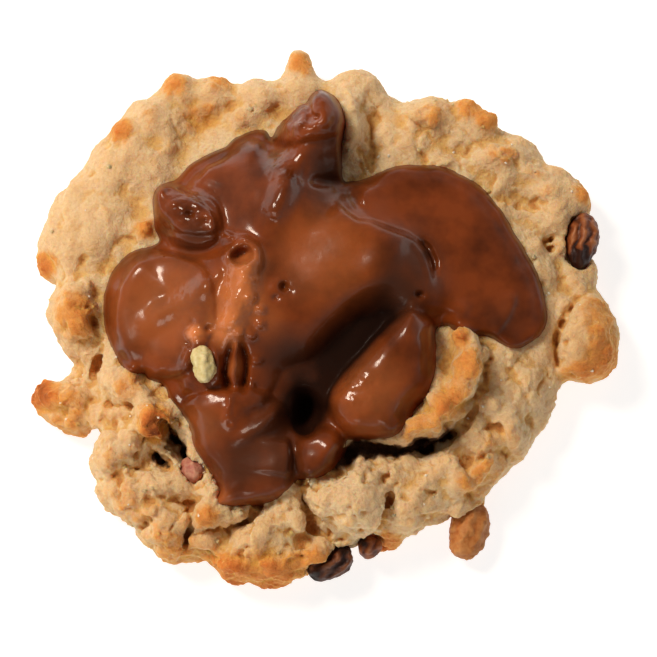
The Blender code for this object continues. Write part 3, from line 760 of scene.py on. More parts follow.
@dataclass(frozen=True)
class MilkChocolate:
    """Set milk chocolate, poured and cooled: warm brown, smooth and glossy, with fine bubbles."""

    name: str = "poured_milk_chocolate"
    shade: str = "552409"
    body: str = "7F3A14"
    # Orange-brown of thin chocolate, also painted light on the lit faces.
    warm_and_lit: str = "CE7A44"
    # Painted shade on the faces turned away from the light.
    painted_dark_side_colour: str = "49291B"
    # Near-black painted shade in the deepest places.
    sunken_shade: str = "140703"
    ripple_mm: float = 5.0
    speck_mm: float = 0.7

    def material(self) -> bpy.types.Material:
        """Build the node tree.

        Returns:
            The material.
        """
        made = bpy.data.materials.new(self.name)
        made.use_nodes = True
        tree = made.node_tree
        tree.nodes.clear()
        place = add_node(tree, "ShaderNodeTexCoord").outputs["Object"]
        warmth_and_lit = add_node(tree, "ShaderNodeAttribute", attribute_name="warmth_and_lit").outputs["Fac"]
        cloud = add_node(tree, "ShaderNodeTexNoise", {
            "Vector": place, "Scale": 1000 / self.ripple_mm, "Detail": 3.0, "Roughness": 0.55})
        speck = add_node(tree, "ShaderNodeTexNoise", {
            "Vector": place, "Scale": 1000 / self.speck_mm, "Detail": 2.0})
        # Fat and cocoa part a little as it sets, so the brown clouds over a few millimetres.
        base = colour_ramp(tree, cloud.outputs["Fac"], [(0.3, self.shade), (0.62, self.body)])
        # A redder brown where the coat runs thin, with painted light on the faces turned to the window.
        lit = add_node(tree, "ShaderNodeMix", {
            "Factor": warmth_and_lit, "A": base.outputs[0], "B": linear(self.warm_and_lit)}, data_type="RGBA")
        # Painted shade: a duller, greyer brown on the faces turned away from the light.
        painted_dark_side = add_node(tree, "ShaderNodeAttribute", attribute_name="painted_dark_side").outputs["Fac"]
        dark_side_painted = add_node(tree, "ShaderNodeMix", {
            "Factor": painted_dark_side, "A": lit.outputs[2], "B": linear(self.painted_dark_side_colour)}, data_type="RGBA")
        # Painted shade, near black, deep in the grooves, the hole and the dark valley.
        sunken_shade = add_node(tree, "ShaderNodeAttribute", attribute_name="sunken_shade").outputs["Fac"]
        darkened = add_node(tree, "ShaderNodeMix", {
            "Factor": sunken_shade, "A": dark_side_painted.outputs[2], "B": linear(self.sunken_shade)}, data_type="RGBA")
        satin = add_node(tree, "ShaderNodeMapRange", {
            "Value": cloud.outputs["Fac"], "From Min": 0.3, "From Max": 0.7, "To Min": 0.3, "To Max": 0.42})
        dull = add_node(tree, "ShaderNodeMath", {
            0: sunken_shade, 1: 0.4, 2: satin.outputs[0]}, operation="MULTIPLY_ADD")
        gloss = add_node(tree, "ShaderNodeAttribute", attribute_name="gloss").outputs["Fac"]
        bump = add_node(tree, "ShaderNodeBump", {
            "Height": speck.outputs["Fac"], "Strength": 0.3, "Distance": 0.08 * MM})
        shader = add_node(tree, "ShaderNodeBsdfPrincipled", {
            "Base Color": darkened.outputs[2], "Normal": bump.outputs[0], "Roughness": dull.outputs[0],
            "IOR": 1.45, "Specular IOR Level": 0.08,
            "Coat Weight": gloss, "Coat Roughness": 0.16, "Coat IOR": 1.45,
            "Subsurface Weight": 0.1, "Subsurface Radius": (1.0, 0.35, 0.15), "Subsurface Scale": 0.8 * MM})
        add_node(tree, "ShaderNodeOutputMaterial", {"Surface": shader.outputs[0]})
        return made


@dataclass(frozen=True)
class NutSkin:
    """Roasted nut: papery skin over a wrinkled kernel, darker in the wrinkles and worn pale on the ridges."""

    name: str
    dark: str
    body: str
    worn: str
    roughness: float = 0.6
    wrinkle_mm: float = 1.1

    def material(self) -> bpy.types.Material:
        """Build the node tree.

        Returns:
            The material.
        """
        made = bpy.data.materials.new(self.name)
        made.use_nodes = True
        tree = made.node_tree
        tree.nodes.clear()
        place = add_node(tree, "ShaderNodeTexCoord").outputs["Object"]
        ridge = add_node(tree, "ShaderNodeAttribute", attribute_name="ridge").outputs["Fac"]
        wrinkle = add_node(tree, "ShaderNodeTexNoise", {
            "Vector": place, "Scale": 1000 / self.wrinkle_mm, "Detail": 4.0, "Roughness": 0.6})
        mixed = add_node(tree, "ShaderNodeMath", {
            0: wrinkle.outputs["Fac"], 1: 0.55, 2: ridge}, operation="MULTIPLY_ADD")
        tone = colour_ramp(tree, mixed.outputs[0], [(0.32, self.dark), (0.6, self.body), (0.95, self.worn)])
        bump = add_node(tree, "ShaderNodeBump", {
            "Height": wrinkle.outputs["Fac"], "Strength": 0.5, "Distance": 0.2 * MM})
        shader = add_node(tree, "ShaderNodeBsdfPrincipled", {
            "Base Color": tone.outputs[0], "Normal": bump.outputs[0], "Roughness": self.roughness,
            "IOR": 1.45, "Specular IOR Level": 0.4,
            "Subsurface Weight": 0.08, "Subsurface Radius": (1.0, 0.4, 0.2), "Subsurface Scale": 0.6 * MM})
        add_node(tree, "ShaderNodeOutputMaterial", {"Surface": shader.outputs[0]})
        return made


@dataclass(frozen=True)
class SugarCrystal:
    """Coarse sugar: clear grains that look white and catch a spark of light."""

    name: str = "coarse_sugar_grains"
    white: str = "F6E9D2"

    def material(self) -> bpy.types.Material:
        """Build the node tree.

        Returns:
            The material.
        """
        made = bpy.data.materials.new(self.name)
        made.use_nodes = True
        tree = made.node_tree
        tree.nodes.clear()
        shader = add_node(tree, "ShaderNodeBsdfPrincipled", {
            "Base Color": linear(self.white), "Roughness": 0.22, "IOR": 1.54,
            "Subsurface Weight": 0.4, "Subsurface Radius": (1.0, 0.9, 0.7), "Subsurface Scale": 0.5 * MM})
        add_node(tree, "ShaderNodeOutputMaterial", {"Surface": shader.outputs[0]})
        return made


class NutKind(Enum):
    """The nuts' finishes, by what the piece is."""

    PECAN = NutSkin("roasted_pecan_skin", "2A0D06", "84441F", "B87A4C", 0.5)
    DARK_PECAN = NutSkin("dark_pecan_skin", "220B06", "4C2413", "8C5634", 0.5)
    TOASTED = NutSkin("toasted_nut_crust", "7C3F1B", "AE682F", "D09A5C", 0.62)
    RED_SKIN = NutSkin("red_papery_skin", "7B3128", "AD5F52", "DDB292", 0.6)
    NUTMEAT = NutSkin("bare_nut_flesh", "9C8240", "CDBB7C", "EFE5B8", 0.4, 0.8)


# Geometry node trees


def new_surface_tree(name: str, numbers: dict[str, float]) -> tuple[bpy.types.NodeTree, dict]:
    """Start a tree that takes a mesh and named numbers and gives a mesh back.

    Args:
        name: name of the tree.
        numbers: named inputs with their first values.

    Returns:
        The tree, and its group input's sockets by name.
    """
    tree = bpy.data.node_groups.new(name, "GeometryNodeTree")
    tree.interface.new_socket("Geometry", in_out="INPUT", socket_type="NodeSocketGeometry")
    tree.interface.new_socket("Geometry", in_out="OUTPUT", socket_type="NodeSocketGeometry")
    for label, value in numbers.items():
        whole = isinstance(value, int)
        kind = "NodeSocketInt" if whole else "NodeSocketFloat"
        tree.interface.new_socket(label, in_out="INPUT", socket_type=kind).default_value = value
    given = add_node(tree, "NodeGroupInput")
    return tree, {socket.name: socket for socket in given.outputs if socket.name}


def run_tree(ob: bpy.types.Object, tree: bpy.types.NodeTree, numbers: dict[str, float]) -> bpy.types.Object:
    """Run a geometry tree on an object and keep the result as its plain mesh.

    Args:
        ob: the object.
        tree: the tree.
        numbers: values for its named inputs.

    Returns:
        The same object.
    """
    mod = ob.modifiers.new(tree.name, "NODES")
    mod.node_group = tree
    for item in tree.interface.items_tree:
        if item.item_type == "SOCKET" and item.in_out == "INPUT" and item.name in numbers:
            mod[item.identifier] = numbers[item.name]
    return settle(ob)


@dataclass(frozen=True)
class CrumbRelief:
    """Relief of a baked crumb: rough swells, crumbs of uneven height, broken cracks and a fine grain."""

    swell_mm: float = 3.2
    swell_height: float = 0.95
    crumb_mm: float = 1.05
    crumb_height: float = 0.52
    grain_mm: float = 0.55
    grain_height: float = 0.36
    crack_mm: float = 4.6
    crack_depth: float = 0.55
    crack_width: float = 0.3
    seed: int = 7
    clump_mm: float = 3.3
    clump_height: float = 0.75

    def tree(self) -> bpy.types.NodeTree:
        """Build the tree, which reads rough, how craggy a part is, and broken, where it fell in clumps.

        Returns:
            The tree.
        """
        tree, given = new_surface_tree("crumb relief", self.numbers())
        rough, broken = (
            add_node(tree, "GeometryNodeInputNamedAttribute", {"Name": name}, data_type="FLOAT").outputs[0]
            for name in ("rough", "broken"))
        place = add_node(tree, "GeometryNodeInputPosition").outputs[0]
        normal = add_node(tree, "GeometryNodeInputNormal").outputs[0]

        def math_of(operation: str, *values: float | bpy.types.NodeSocket) -> bpy.types.NodeSocket:
            """Result of a sum on numbers and sockets."""
            return add_node(tree, "ShaderNodeMath", dict(enumerate(values)), operation=operation).outputs[0]

        scale = {size: math_of("DIVIDE", 1000.0, given[size])
                 for size in ("swell_mm", "crumb_mm", "grain_mm", "crack_mm", "clump_mm")}
        wander = add_node(tree, "ShaderNodeTexNoise", {
            "Vector": place, "W": given["seed"], "Scale": scale["swell_mm"], "Detail": 4.0, "Roughness": 0.6},
            noise_dimensions="4D")
        swell = math_of("SUBTRACT", wander.outputs[0], 0.5)
        # Crumbs: cells that stand out by chance, on places bent by the noise.
        bend = add_node(tree, "ShaderNodeVectorMath", {
            0: wander.outputs[1], 1: (0.5, 0.5, 0.5)}, operation="SUBTRACT").outputs[0]
        bent = add_node(tree, "ShaderNodeVectorMath", {
            0: bend, 1: (0.003, 0.003, 0.003), 2: place}, operation="MULTIPLY_ADD").outputs[0]
        cells = add_node(tree, "ShaderNodeTexVoronoi", {
            "Vector": bent, "Scale": scale["crumb_mm"], "Smoothness": 0.4}, feature="SMOOTH_F1")
        chance = add_node(tree, "ShaderNodeSeparateXYZ", {0: cells.outputs[1]}).outputs[0]
        knobs = math_of("MULTIPLY", math_of("SUBTRACT", 0.75, cells.outputs[0]), chance)
        fine = add_node(tree, "ShaderNodeTexNoise", {
            "Vector": place, "Scale": scale["grain_mm"], "Detail": 2.0, "Roughness": 0.6})
        grain = math_of("SUBTRACT", fine.outputs[0], 0.5)
        # Cracks: the borders of larger cells, open only in patches.
        plates = add_node(tree, "ShaderNodeTexVoronoi", {
            "Vector": bent, "Scale": scale["crack_mm"]}, feature="DISTANCE_TO_EDGE")
        gap = math_of("MULTIPLY", plates.outputs[0], given["crack_mm"])
        open_mm = math_of("MULTIPLY_ADD", fine.outputs[0], 0.5, given["crack_width"])
        crack = math_of("SUBTRACT", 1.0, math_of("DIVIDE", gap, open_mm))
        crack = math_of("MAXIMUM", crack, 0.0)
        patch = add_node(tree, "ShaderNodeTexNoise", {
            "Vector": place, "Scale": 260.0, "Detail": 2.0}).outputs[0]
        opened = add_node(tree, "ShaderNodeMapRange", {
            "Value": patch, "From Min": 0.5, "From Max": 0.62}, interpolation_type="SMOOTHSTEP").outputs[0]
        crack = math_of("MULTIPLY", crack, opened)
        total = math_of("MULTIPLY", swell, given["swell_height"])
        total = math_of("MULTIPLY_ADD", knobs, given["crumb_height"], total)
        total = math_of("MULTIPLY_ADD", grain, given["grain_height"], total)
        total = math_of("SUBTRACT", total, math_of("MULTIPLY", crack, given["crack_depth"]))
        total = math_of("MULTIPLY", total, rough)
        # Clumps: rounded lumps of crumb with a notch between them.
        lumps = add_node(tree, "ShaderNodeTexVoronoi", {
            "Vector": bent, "Scale": scale["clump_mm"], "Smoothness": 0.2}, feature="SMOOTH_F1")
        dome = math_of("MULTIPLY_ADD", math_of("MULTIPLY", lumps.outputs[0], lumps.outputs[0]), -1.7, 0.35)
        total = math_of("MULTIPLY_ADD", math_of("MULTIPLY", dome, given["clump_height"]), broken, total)
        metres = math_of("MULTIPLY", total, MM)
        move = add_node(tree, "ShaderNodeVectorMath", {
            0: normal, "Scale": metres}, operation="SCALE").outputs[0]
        moved = add_node(tree, "GeometryNodeSetPosition", {"Geometry": given["Geometry"], "Offset": move})
        add_node(tree, "NodeGroupOutput", {0: moved.outputs[0]})
        return tree

    def numbers(self) -> dict[str, float]:
        """The tree's named inputs and their values."""
        return asdict(self)


@dataclass(frozen=True)
class HollowMap:
    """Measures how far each place lies under its surroundings."""

    rounds: int = 24
    depth_mm: float = 0.34

    def tree(self) -> bpy.types.NodeTree:
        """Build the tree, which stores hollow: 1 deep in a crack, 0 on the level, negative on a tip.

        Returns:
            The tree.
        """
        tree, given = new_surface_tree("hollow map", {"rounds": self.rounds, "depth_mm": self.depth_mm})
        place = add_node(tree, "GeometryNodeInputPosition").outputs[0]
        normal = add_node(tree, "GeometryNodeInputNormal").outputs[0]
        around = add_node(tree, "GeometryNodeBlurAttribute", {
            "Iterations": given["rounds"]}, data_type="FLOAT_VECTOR")
        tree.links.new(place, next(s for s in around.inputs if s.name == "Value" and s.enabled))
        mean = next(s for s in around.outputs if s.enabled)
        lack = add_node(tree, "ShaderNodeVectorMath", {0: mean, 1: place}, operation="SUBTRACT").outputs[0]
        level = add_node(tree, "GeometryNodeBlurAttribute", {"Iterations": 12}, data_type="FLOAT_VECTOR")
        tree.links.new(normal, next(s for s in level.inputs if s.name == "Value" and s.enabled))
        facing = add_node(tree, "ShaderNodeVectorMath", {
            0: next(s for s in level.outputs if s.enabled)}, operation="NORMALIZE").outputs[0]
        depth = add_node(tree, "ShaderNodeVectorMath", {
            0: lack, 1: facing}, operation="DOT_PRODUCT").outputs["Value"]
        metres = add_node(tree, "ShaderNodeMath", {
            0: given["depth_mm"], 1: MM}, operation="MULTIPLY").outputs[0]
        share = add_node(tree, "ShaderNodeMath", {0: depth, 1: metres}, operation="DIVIDE").outputs[0]
        kept = add_node(tree, "GeometryNodeStoreNamedAttribute", {
            "Geometry": given["Geometry"], "Name": "hollow", "Value": share},
            data_type="FLOAT", domain="POINT")
        add_node(tree, "NodeGroupOutput", {0: kept.outputs[0]})
        return tree


@dataclass(frozen=True)
class Scatter:
    """Small bits strewn over a surface, each turned and sized at random."""

    name: str
    number_per_cm2: float
    smallest_mm: float
    largest_mm: float
    seed: int
    weight: str
    sharp: bool = False

    def tree(self, finish: bpy.types.Material) -> bpy.types.NodeTree:
        """Build the tree, which gives the bits alone, realized and finished.

        Args:
            finish: their material.

        Returns:
            The tree.
        """
        tree, given = new_surface_tree(self.name, {
            "per_m2": self.number_per_cm2 * 1e4, "smallest": self.smallest_mm * MM,
            "largest": self.largest_mm * MM, "seed": self.seed})
        where = add_node(tree, "GeometryNodeInputNamedAttribute", {
            "Name": self.weight}, data_type="FLOAT").outputs[0]
        density = add_node(tree, "ShaderNodeMath", {
            0: given["per_m2"], 1: where}, operation="MULTIPLY").outputs[0]
        strewn = add_node(tree, "GeometryNodeDistributePointsOnFaces", {
            "Mesh": given["Geometry"], "Density": density, "Seed": given["seed"]}, distribute_method="RANDOM")
        if self.sharp:
            bit = add_node(tree, "GeometryNodeMeshCube", {"Size": (1.0, 0.8, 0.7)}).outputs[0]
        else:
            block = add_node(tree, "GeometryNodeMeshCube", {
                "Size": (1.0, 0.85, 0.7), "Vertices X": 3, "Vertices Y": 3, "Vertices Z": 3}).outputs[0]
            knot = add_node(tree, "ShaderNodeTexNoise", {"Scale": 1.7, "Detail": 1.0}).outputs[1]
            shove = add_node(tree, "ShaderNodeVectorMath", {
                0: knot, 1: (0.5, 0.5, 0.5)}, operation="SUBTRACT").outputs[0]
            worn = add_node(tree, "GeometryNodeInputPosition").outputs[0]
            round_off = add_node(tree, "ShaderNodeVectorMath", {0: worn}, operation="NORMALIZE").outputs[0]
            inward = add_node(tree, "ShaderNodeVectorMath", {
                0: round_off, "Scale": 0.45}, operation="SCALE").outputs[0]
            ball = add_node(tree, "ShaderNodeMix", {"Factor": 0.6}, data_type="VECTOR")
            tree.links.new(worn, next(i for i in ball.inputs if i.name == "A" and i.enabled))
            tree.links.new(inward, next(i for i in ball.inputs if i.name == "B" and i.enabled))
            middle = next(o for o in ball.outputs if o.enabled)
            bit = add_node(tree, "GeometryNodeSetPosition", {
                "Geometry": block, "Position": middle, "Offset": shove}).outputs[0]
        size = add_node(tree, "FunctionNodeRandomValue", data_type="FLOAT")
        numbers = [s for s in size.inputs if s.enabled]
        tree.links.new(given["smallest"], numbers[0])
        tree.links.new(given["largest"], numbers[1])
        tree.links.new(given["seed"], next(s for s in size.inputs if s.name == "Seed"))
        turn = add_node(tree, "FunctionNodeRandomValue", data_type="FLOAT_VECTOR")
        ends = [s for s in turn.inputs if s.enabled and s.type == "VECTOR"]
        ends[0].default_value = (0.0, 0.0, 0.0)
        ends[1].default_value = (math.tau, math.tau, math.tau)
        spread = add_node(tree, "GeometryNodeInstanceOnPoints", {
            "Points": strewn.outputs["Points"], "Instance": bit,
            "Rotation": next(s for s in turn.outputs if s.enabled),
            "Scale": next(s for s in size.outputs if s.enabled)})
        whole = add_node(tree, "GeometryNodeRealizeInstances", {0: spread.outputs[0]})
        dressed = add_node(tree, "GeometryNodeSetMaterial", {
            "Geometry": whole.outputs[0], "Material": finish})
        add_node(tree, "NodeGroupOutput", {0: dressed.outputs[0]})
        return tree


# Sub-assemblies


@dataclass
class DoughBody:
    """The baked cookie: the solid's lumps, with blocks, steps, cracks, crumb relief and browning."""

    grain: float = 0.28
    triangles: int = 195000
    hole_depth: float = 4.0
    relief: CrumbRelief = field(default_factory=CrumbRelief)
    finish: BakedDough = field(default_factory=BakedDough)
    forms: tuple[Form, ...] = (
        Form(Cut.LIP, ((10.1, -15.9), (12.7, -15.3), (15.3, -14.6), (16.3, -13.0), (16.8, -11.5),
             (18.2, -10.4), (19.7, -9.6), (20.7, -7.9), (21.1, -6.2), (21.3, -4.4), (20.9, -3.0),
             (19.6, -2.1)), 2.2, 0.6, 3.0),
        Form(Cut.DOME, ((-2.6, -20.5), (-1.0, -18.9), (2.1, -18.1), (4.8, -18.7), (6.8, -20.0),
             (8.6, -22.6), (8.6, -25.3), (7.3, -27.2), (7.7, -28.9), (5.3, -29.4), (2.1, -28.5),
             (-1.0, -27.8), (-2.3, -26.0), (-3.0, -23.3)), 1.7, 1.4),
        Form(Cut.DOME, ((-18.1, -23.0), (-17.6, -20.5), (-16.3, -20.1), (-15.2, -21.1), (-14.4,
             -23.3), (-14.1, -25.0), (-11.5, -25.6), (-8.6, -25.3), (-9.0, -26.5), (-11.6, -27.8),
             (-14.1, -28.6), (-16.4, -27.9), (-17.9, -26.3)), 1.5, 1.1),
        Form(Cut.DOME, ((-25.4, -12.0), (-24.1, -10.7), (-22.2, -11.2), (-20.5, -12.6), (-20.0,
             -14.2), (-20.9, -15.7), (-22.8, -16.6), (-24.5, -15.9), (-25.6, -14.2)), 1.9, 1.5),
        Form(Cut.DOME, ((-30.2, -7.1), (-28.0, -6.3), (-25.7, -7.4), (-24.1, -8.8), (-23.8, -10.5),
             (-25.9, -11.5), (-28.3, -11.2), (-30.1, -9.8)), 1.1, 1.2),
        Form(Cut.DOME, ((-31.5, -13.7), (-30.2, -11.6), (-27.8, -11.5), (-25.9, -12.6), (-25.2,
             -15.3), (-24.1, -17.1), (-25.3, -18.9), (-28.0, -19.4), (-30.6, -18.1), (-31.6,
             -16.1)), 1.1, 1.2),
        Form(Cut.DOME, ((-37.5, 2.7), (-36.0, 4.7), (-33.5, 5.1), (-31.5, 3.8), (-31.1, 1.1),
             (-31.6, -1.4), (-33.2, -3.0), (-35.4, -2.5), (-36.9, -0.3)), 1.2, 1.5),
        Form(Cut.DOME, ((31.6, -1.6), (32.4, 1.8), (34.6, 3.1), (37.2, 3.8), (38.9, 0.7), (39.9,
             -4.1), (39.5, -6.6), (37.6, -8.2), (34.9, -8.3), (32.4, -7.3), (31.6, -4.4)), 1.5,
             2.2),
        Form(Cut.DOME, ((-17.6, -30.1), (-15.7, -28.9), (-12.7, -29.0), (-9.7, -27.9), (-6.4,
             -28.7), (-3.4, -30.1), (-0.4, -31.2), (0.0, -33.5), (-2.6, -35.6), (-7.5, -36.1),
             (-12.2, -35.8), (-15.2, -34.2), (-17.1, -32.3)), 1.2, 1.6),
        Form(Cut.DOME, ((-28.3, -22.2), (-25.3, -20.5), (-22.8, -21.6), (-21.5, -23.5), (-22.6,
             -25.7), (-25.0, -26.8), (-27.5, -25.7), (-28.9, -23.9)), 1.0, 1.2),
        Form(Cut.DOME, ((-24.2, -28.5), (-22.0, -26.0), (-19.3, -26.0), (-18.7, -28.2), (-19.3,
             -30.8), (-21.5, -32.3), (-23.9, -31.2)), 1.0, 1.2),
        Form(Cut.DOME, ((-8.6, -26.3), (-6.2, -25.0), (-3.8, -25.7), (-3.1, -27.6), (-4.8, -29.5),
             (-7.5, -29.0)), 0.9, 1.1),
        Form(Cut.DOME, ((-22.6, -21.9), (-20.4, -20.5), (-18.7, -21.3), (-18.5, -23.5), (-20.1,
             -24.9), (-22.0, -24.1)), 0.9, 0.9),
        Form(Cut.RIDGE, ((2.9, 31.0), (3.5, 29.0), (3.7, 27.0), (3.4, 25.0), (3.0, 23.0)), 1.7, 1.3,
             1.1),
        Form(Cut.RIDGE, ((23.4, -10.3), (25.6, -15.0), (26.7, -19.2)), 0.9, 1.7, 1.5),
        Form(Cut.RIDGE, ((19.3, -14.8), (22.3, -18.5), (24.4, -21.6)), 0.9, 1.9, 1.7),
        Form(Cut.RIDGE, ((15.7, -16.4), (17.8, -20.5), (18.7, -24.6)), 0.7, 1.7, 1.6),
        Form(Cut.RIDGE, ((5.4, 28.6), (5.8, 26.0), (5.9, 23.4), (5.7, 21.4), (5.3, 19.4)), -1.4, 2.1,
             2.0),
        Form(Cut.RIDGE, ((5.8, 24.0), (5.6, 21.6), (5.2, 19.2)), -0.8, 1.8, 1.7),
        Form(Cut.RIDGE, ((-0.6, -20.4), (1.6, -18.7), (4.0, -17.4), (6.8, -17.4), (9.6, -17.5), (12.6,
             -17.2), (15.3, -16.4), (17.4, -14.4)), -4.4, 1.6, 1.3),
        Form(Cut.RIDGE, ((17.6, -11.9), (20.0, -11.1), (21.9, -8.5), (22.4, -5.7), (22.2, -3.4)),
             -1.7, 1.2, 1.0),
        Form(Cut.RIDGE, ((21.8, -12.6), (23.9, -17.1), (25.6, -21.1)), -1.0, 0.6, 0.5),
        Form(Cut.RIDGE, ((23.9, -4.4), (26.0, -8.5), (27.8, -12.6), (28.3, -16.4)), -0.8, 0.5,
             0.45),
        Form(Cut.RIDGE, ((17.4, -17.2), (19.8, -21.1), (21.2, -24.4)), -0.9, 0.6, 0.5),
        Form(Cut.RIDGE, ((-21.9, -13.8), (-20.9, -15.3), (-19.8, -16.8), (-18.7, -18.6), (-18.2,
             -20.0)), -3.4, 0.95, 0.7),
        Form(Cut.RIDGE, ((-23.3, -18.1), (-22.3, -19.2), (-21.3, -20.1)), -3.0, 0.8, 0.6),
        Form(Cut.RIDGE, ((-32.7, 1.9), (-31.7, 0.0), (-30.9, -2.9)), -1.76, 0.57, 0.56),
        Form(Cut.RIDGE, ((-29.7, -3.3), (-30.9, -5.7), (-32.0, -8.8)), -0.9, 0.69, 0.67),
        Form(Cut.RIDGE, ((-32.0, -8.8), (-32.7, -12.0), (-31.7, -16.4)), -1.44, 0.52, 0.5),
        Form(Cut.RIDGE, ((-34.1, 7.0), (-32.0, 8.6), (-29.8, 9.4)), -1.0, 0.25, 0.19),
        Form(Cut.RIDGE, ((-27.8, -21.6), (-25.9, -20.2), (-23.4, -18.5)), -1.92, 0.57, 0.56),
        Form(Cut.RIDGE, ((-22.2, -23.8), (-20.1, -24.5), (-17.9, -25.4)), -1.76, 0.52, 0.5),
        Form(Cut.RIDGE, ((-25.3, -28.3), (-24.5, -27.5), (-23.5, -26.5)), -1.76, 0.57, 0.56),
        Form(Cut.RIDGE, ((-14.4, -28.3), (-10.8, -27.2), (-8.3, -24.8)), -1.92, 0.57, 0.56),
        Form(Cut.RIDGE, ((-8.3, -24.8), (-7.3, -25.7), (-6.7, -26.8)), -1.44, 0.4, 0.39),
        Form(Cut.RIDGE, ((-7.8, -28.0), (-6.0, -27.9), (-4.2, -28.2)), -1.28, 0.4, 0.39),
        Form(Cut.RIDGE, ((-3.3, -20.5), (-2.9, -24.4), (-1.0, -28.7)), -1.76, 0.52, 0.5),
        Form(Cut.RIDGE, ((-1.0, -28.7), (2.1, -29.8), (4.2, -29.7)), -1.44, 0.46, 0.45),
        Form(Cut.RIDGE, ((8.8, -20.0), (8.9, -23.9), (7.8, -27.6)), -1.76, 0.46, 0.45),
        Form(Cut.RIDGE, ((13.1, -23.3), (14.5, -22.8), (15.7, -22.7)), -1.12, 0.4, 0.39),
        Form(Cut.RIDGE, ((25.6, 15.3), (27.9, 16.0), (30.4, 16.3)), -1.04, 0.4, 0.39),
        Form(Cut.RIDGE, ((30.0, 9.4), (30.9, 10.4), (31.9, 11.2)), -2.4, 0.57, 0.56),
        Form(Cut.RIDGE, ((35.2, 3.8), (32.7, 0.3), (31.5, -3.7)), -1.76, 0.57, 0.56),
        Form(Cut.RIDGE, ((17.6, 22.7), (18.2, 21.6), (18.3, 20.5)), -0.96, 0.4, 0.39),
        Form(Cut.RIDGE, ((-15.2, 32.1), (-15.3, 31.2), (-15.2, 30.4)), -0.96, 0.34, 0.34),
        Form(Cut.RIDGE, ((-18.7, -24.9), (-18.1, -27.9), (-19.0, -30.6)), -1.92, 0.57, 0.56),
        Form(Cut.RIDGE, ((-19.0, -30.6), (-19.2, -32.3), (-18.9, -33.7)), -1.44, 0.46, 0.45),
        Form(Cut.RIDGE, ((-30.2, -11.5), (-28.3, -11.5), (-26.1, -12.0)), -1.28, 0.46, 0.45),
        Form(Cut.RIDGE, ((-29.1, -18.5), (-28.6, -20.0), (-29.1, -21.9)), -1.12, 0.46, 0.45),
        Form(Cut.RIDGE, ((-23.9, -10.7), (-22.6, -9.3), (-21.8, -8.2)), -1.44, 0.52, 0.5),
        Form(Cut.RIDGE, ((-13.3, -25.3), (-11.9, -26.3), (-12.7, -27.6)), -1.12, 0.34, 0.34),
        Form(Cut.RIDGE, ((-4.0, -29.8), (-2.9, -31.7), (-3.4, -33.7)), -1.12, 0.4, 0.39),
        Form(Cut.RIDGE, ((-12.2, -29.0), (-11.1, -30.8), (-11.6, -32.8)), -0.96, 0.34, 0.34),
        Form(Cut.RIDGE, ((19.8, -18.1), (19.6, -19.4), (19.0, -20.2)), -1.28, 0.4, 0.39),
        Form(Cut.RIDGE, ((24.6, -16.4), (25.6, -18.1), (26.4, -19.4)), -1.28, 0.4, 0.39),
        Form(Cut.RIDGE, ((13.0, 30.1), (13.5, 28.5), (13.1, 26.8)), -0.8, 0.3, 0.22),
        Form(Cut.RIDGE, ((34.2, 12.0), (34.9, 10.1), (34.6, 7.9)), -0.8, 0.3, 0.22),
    )
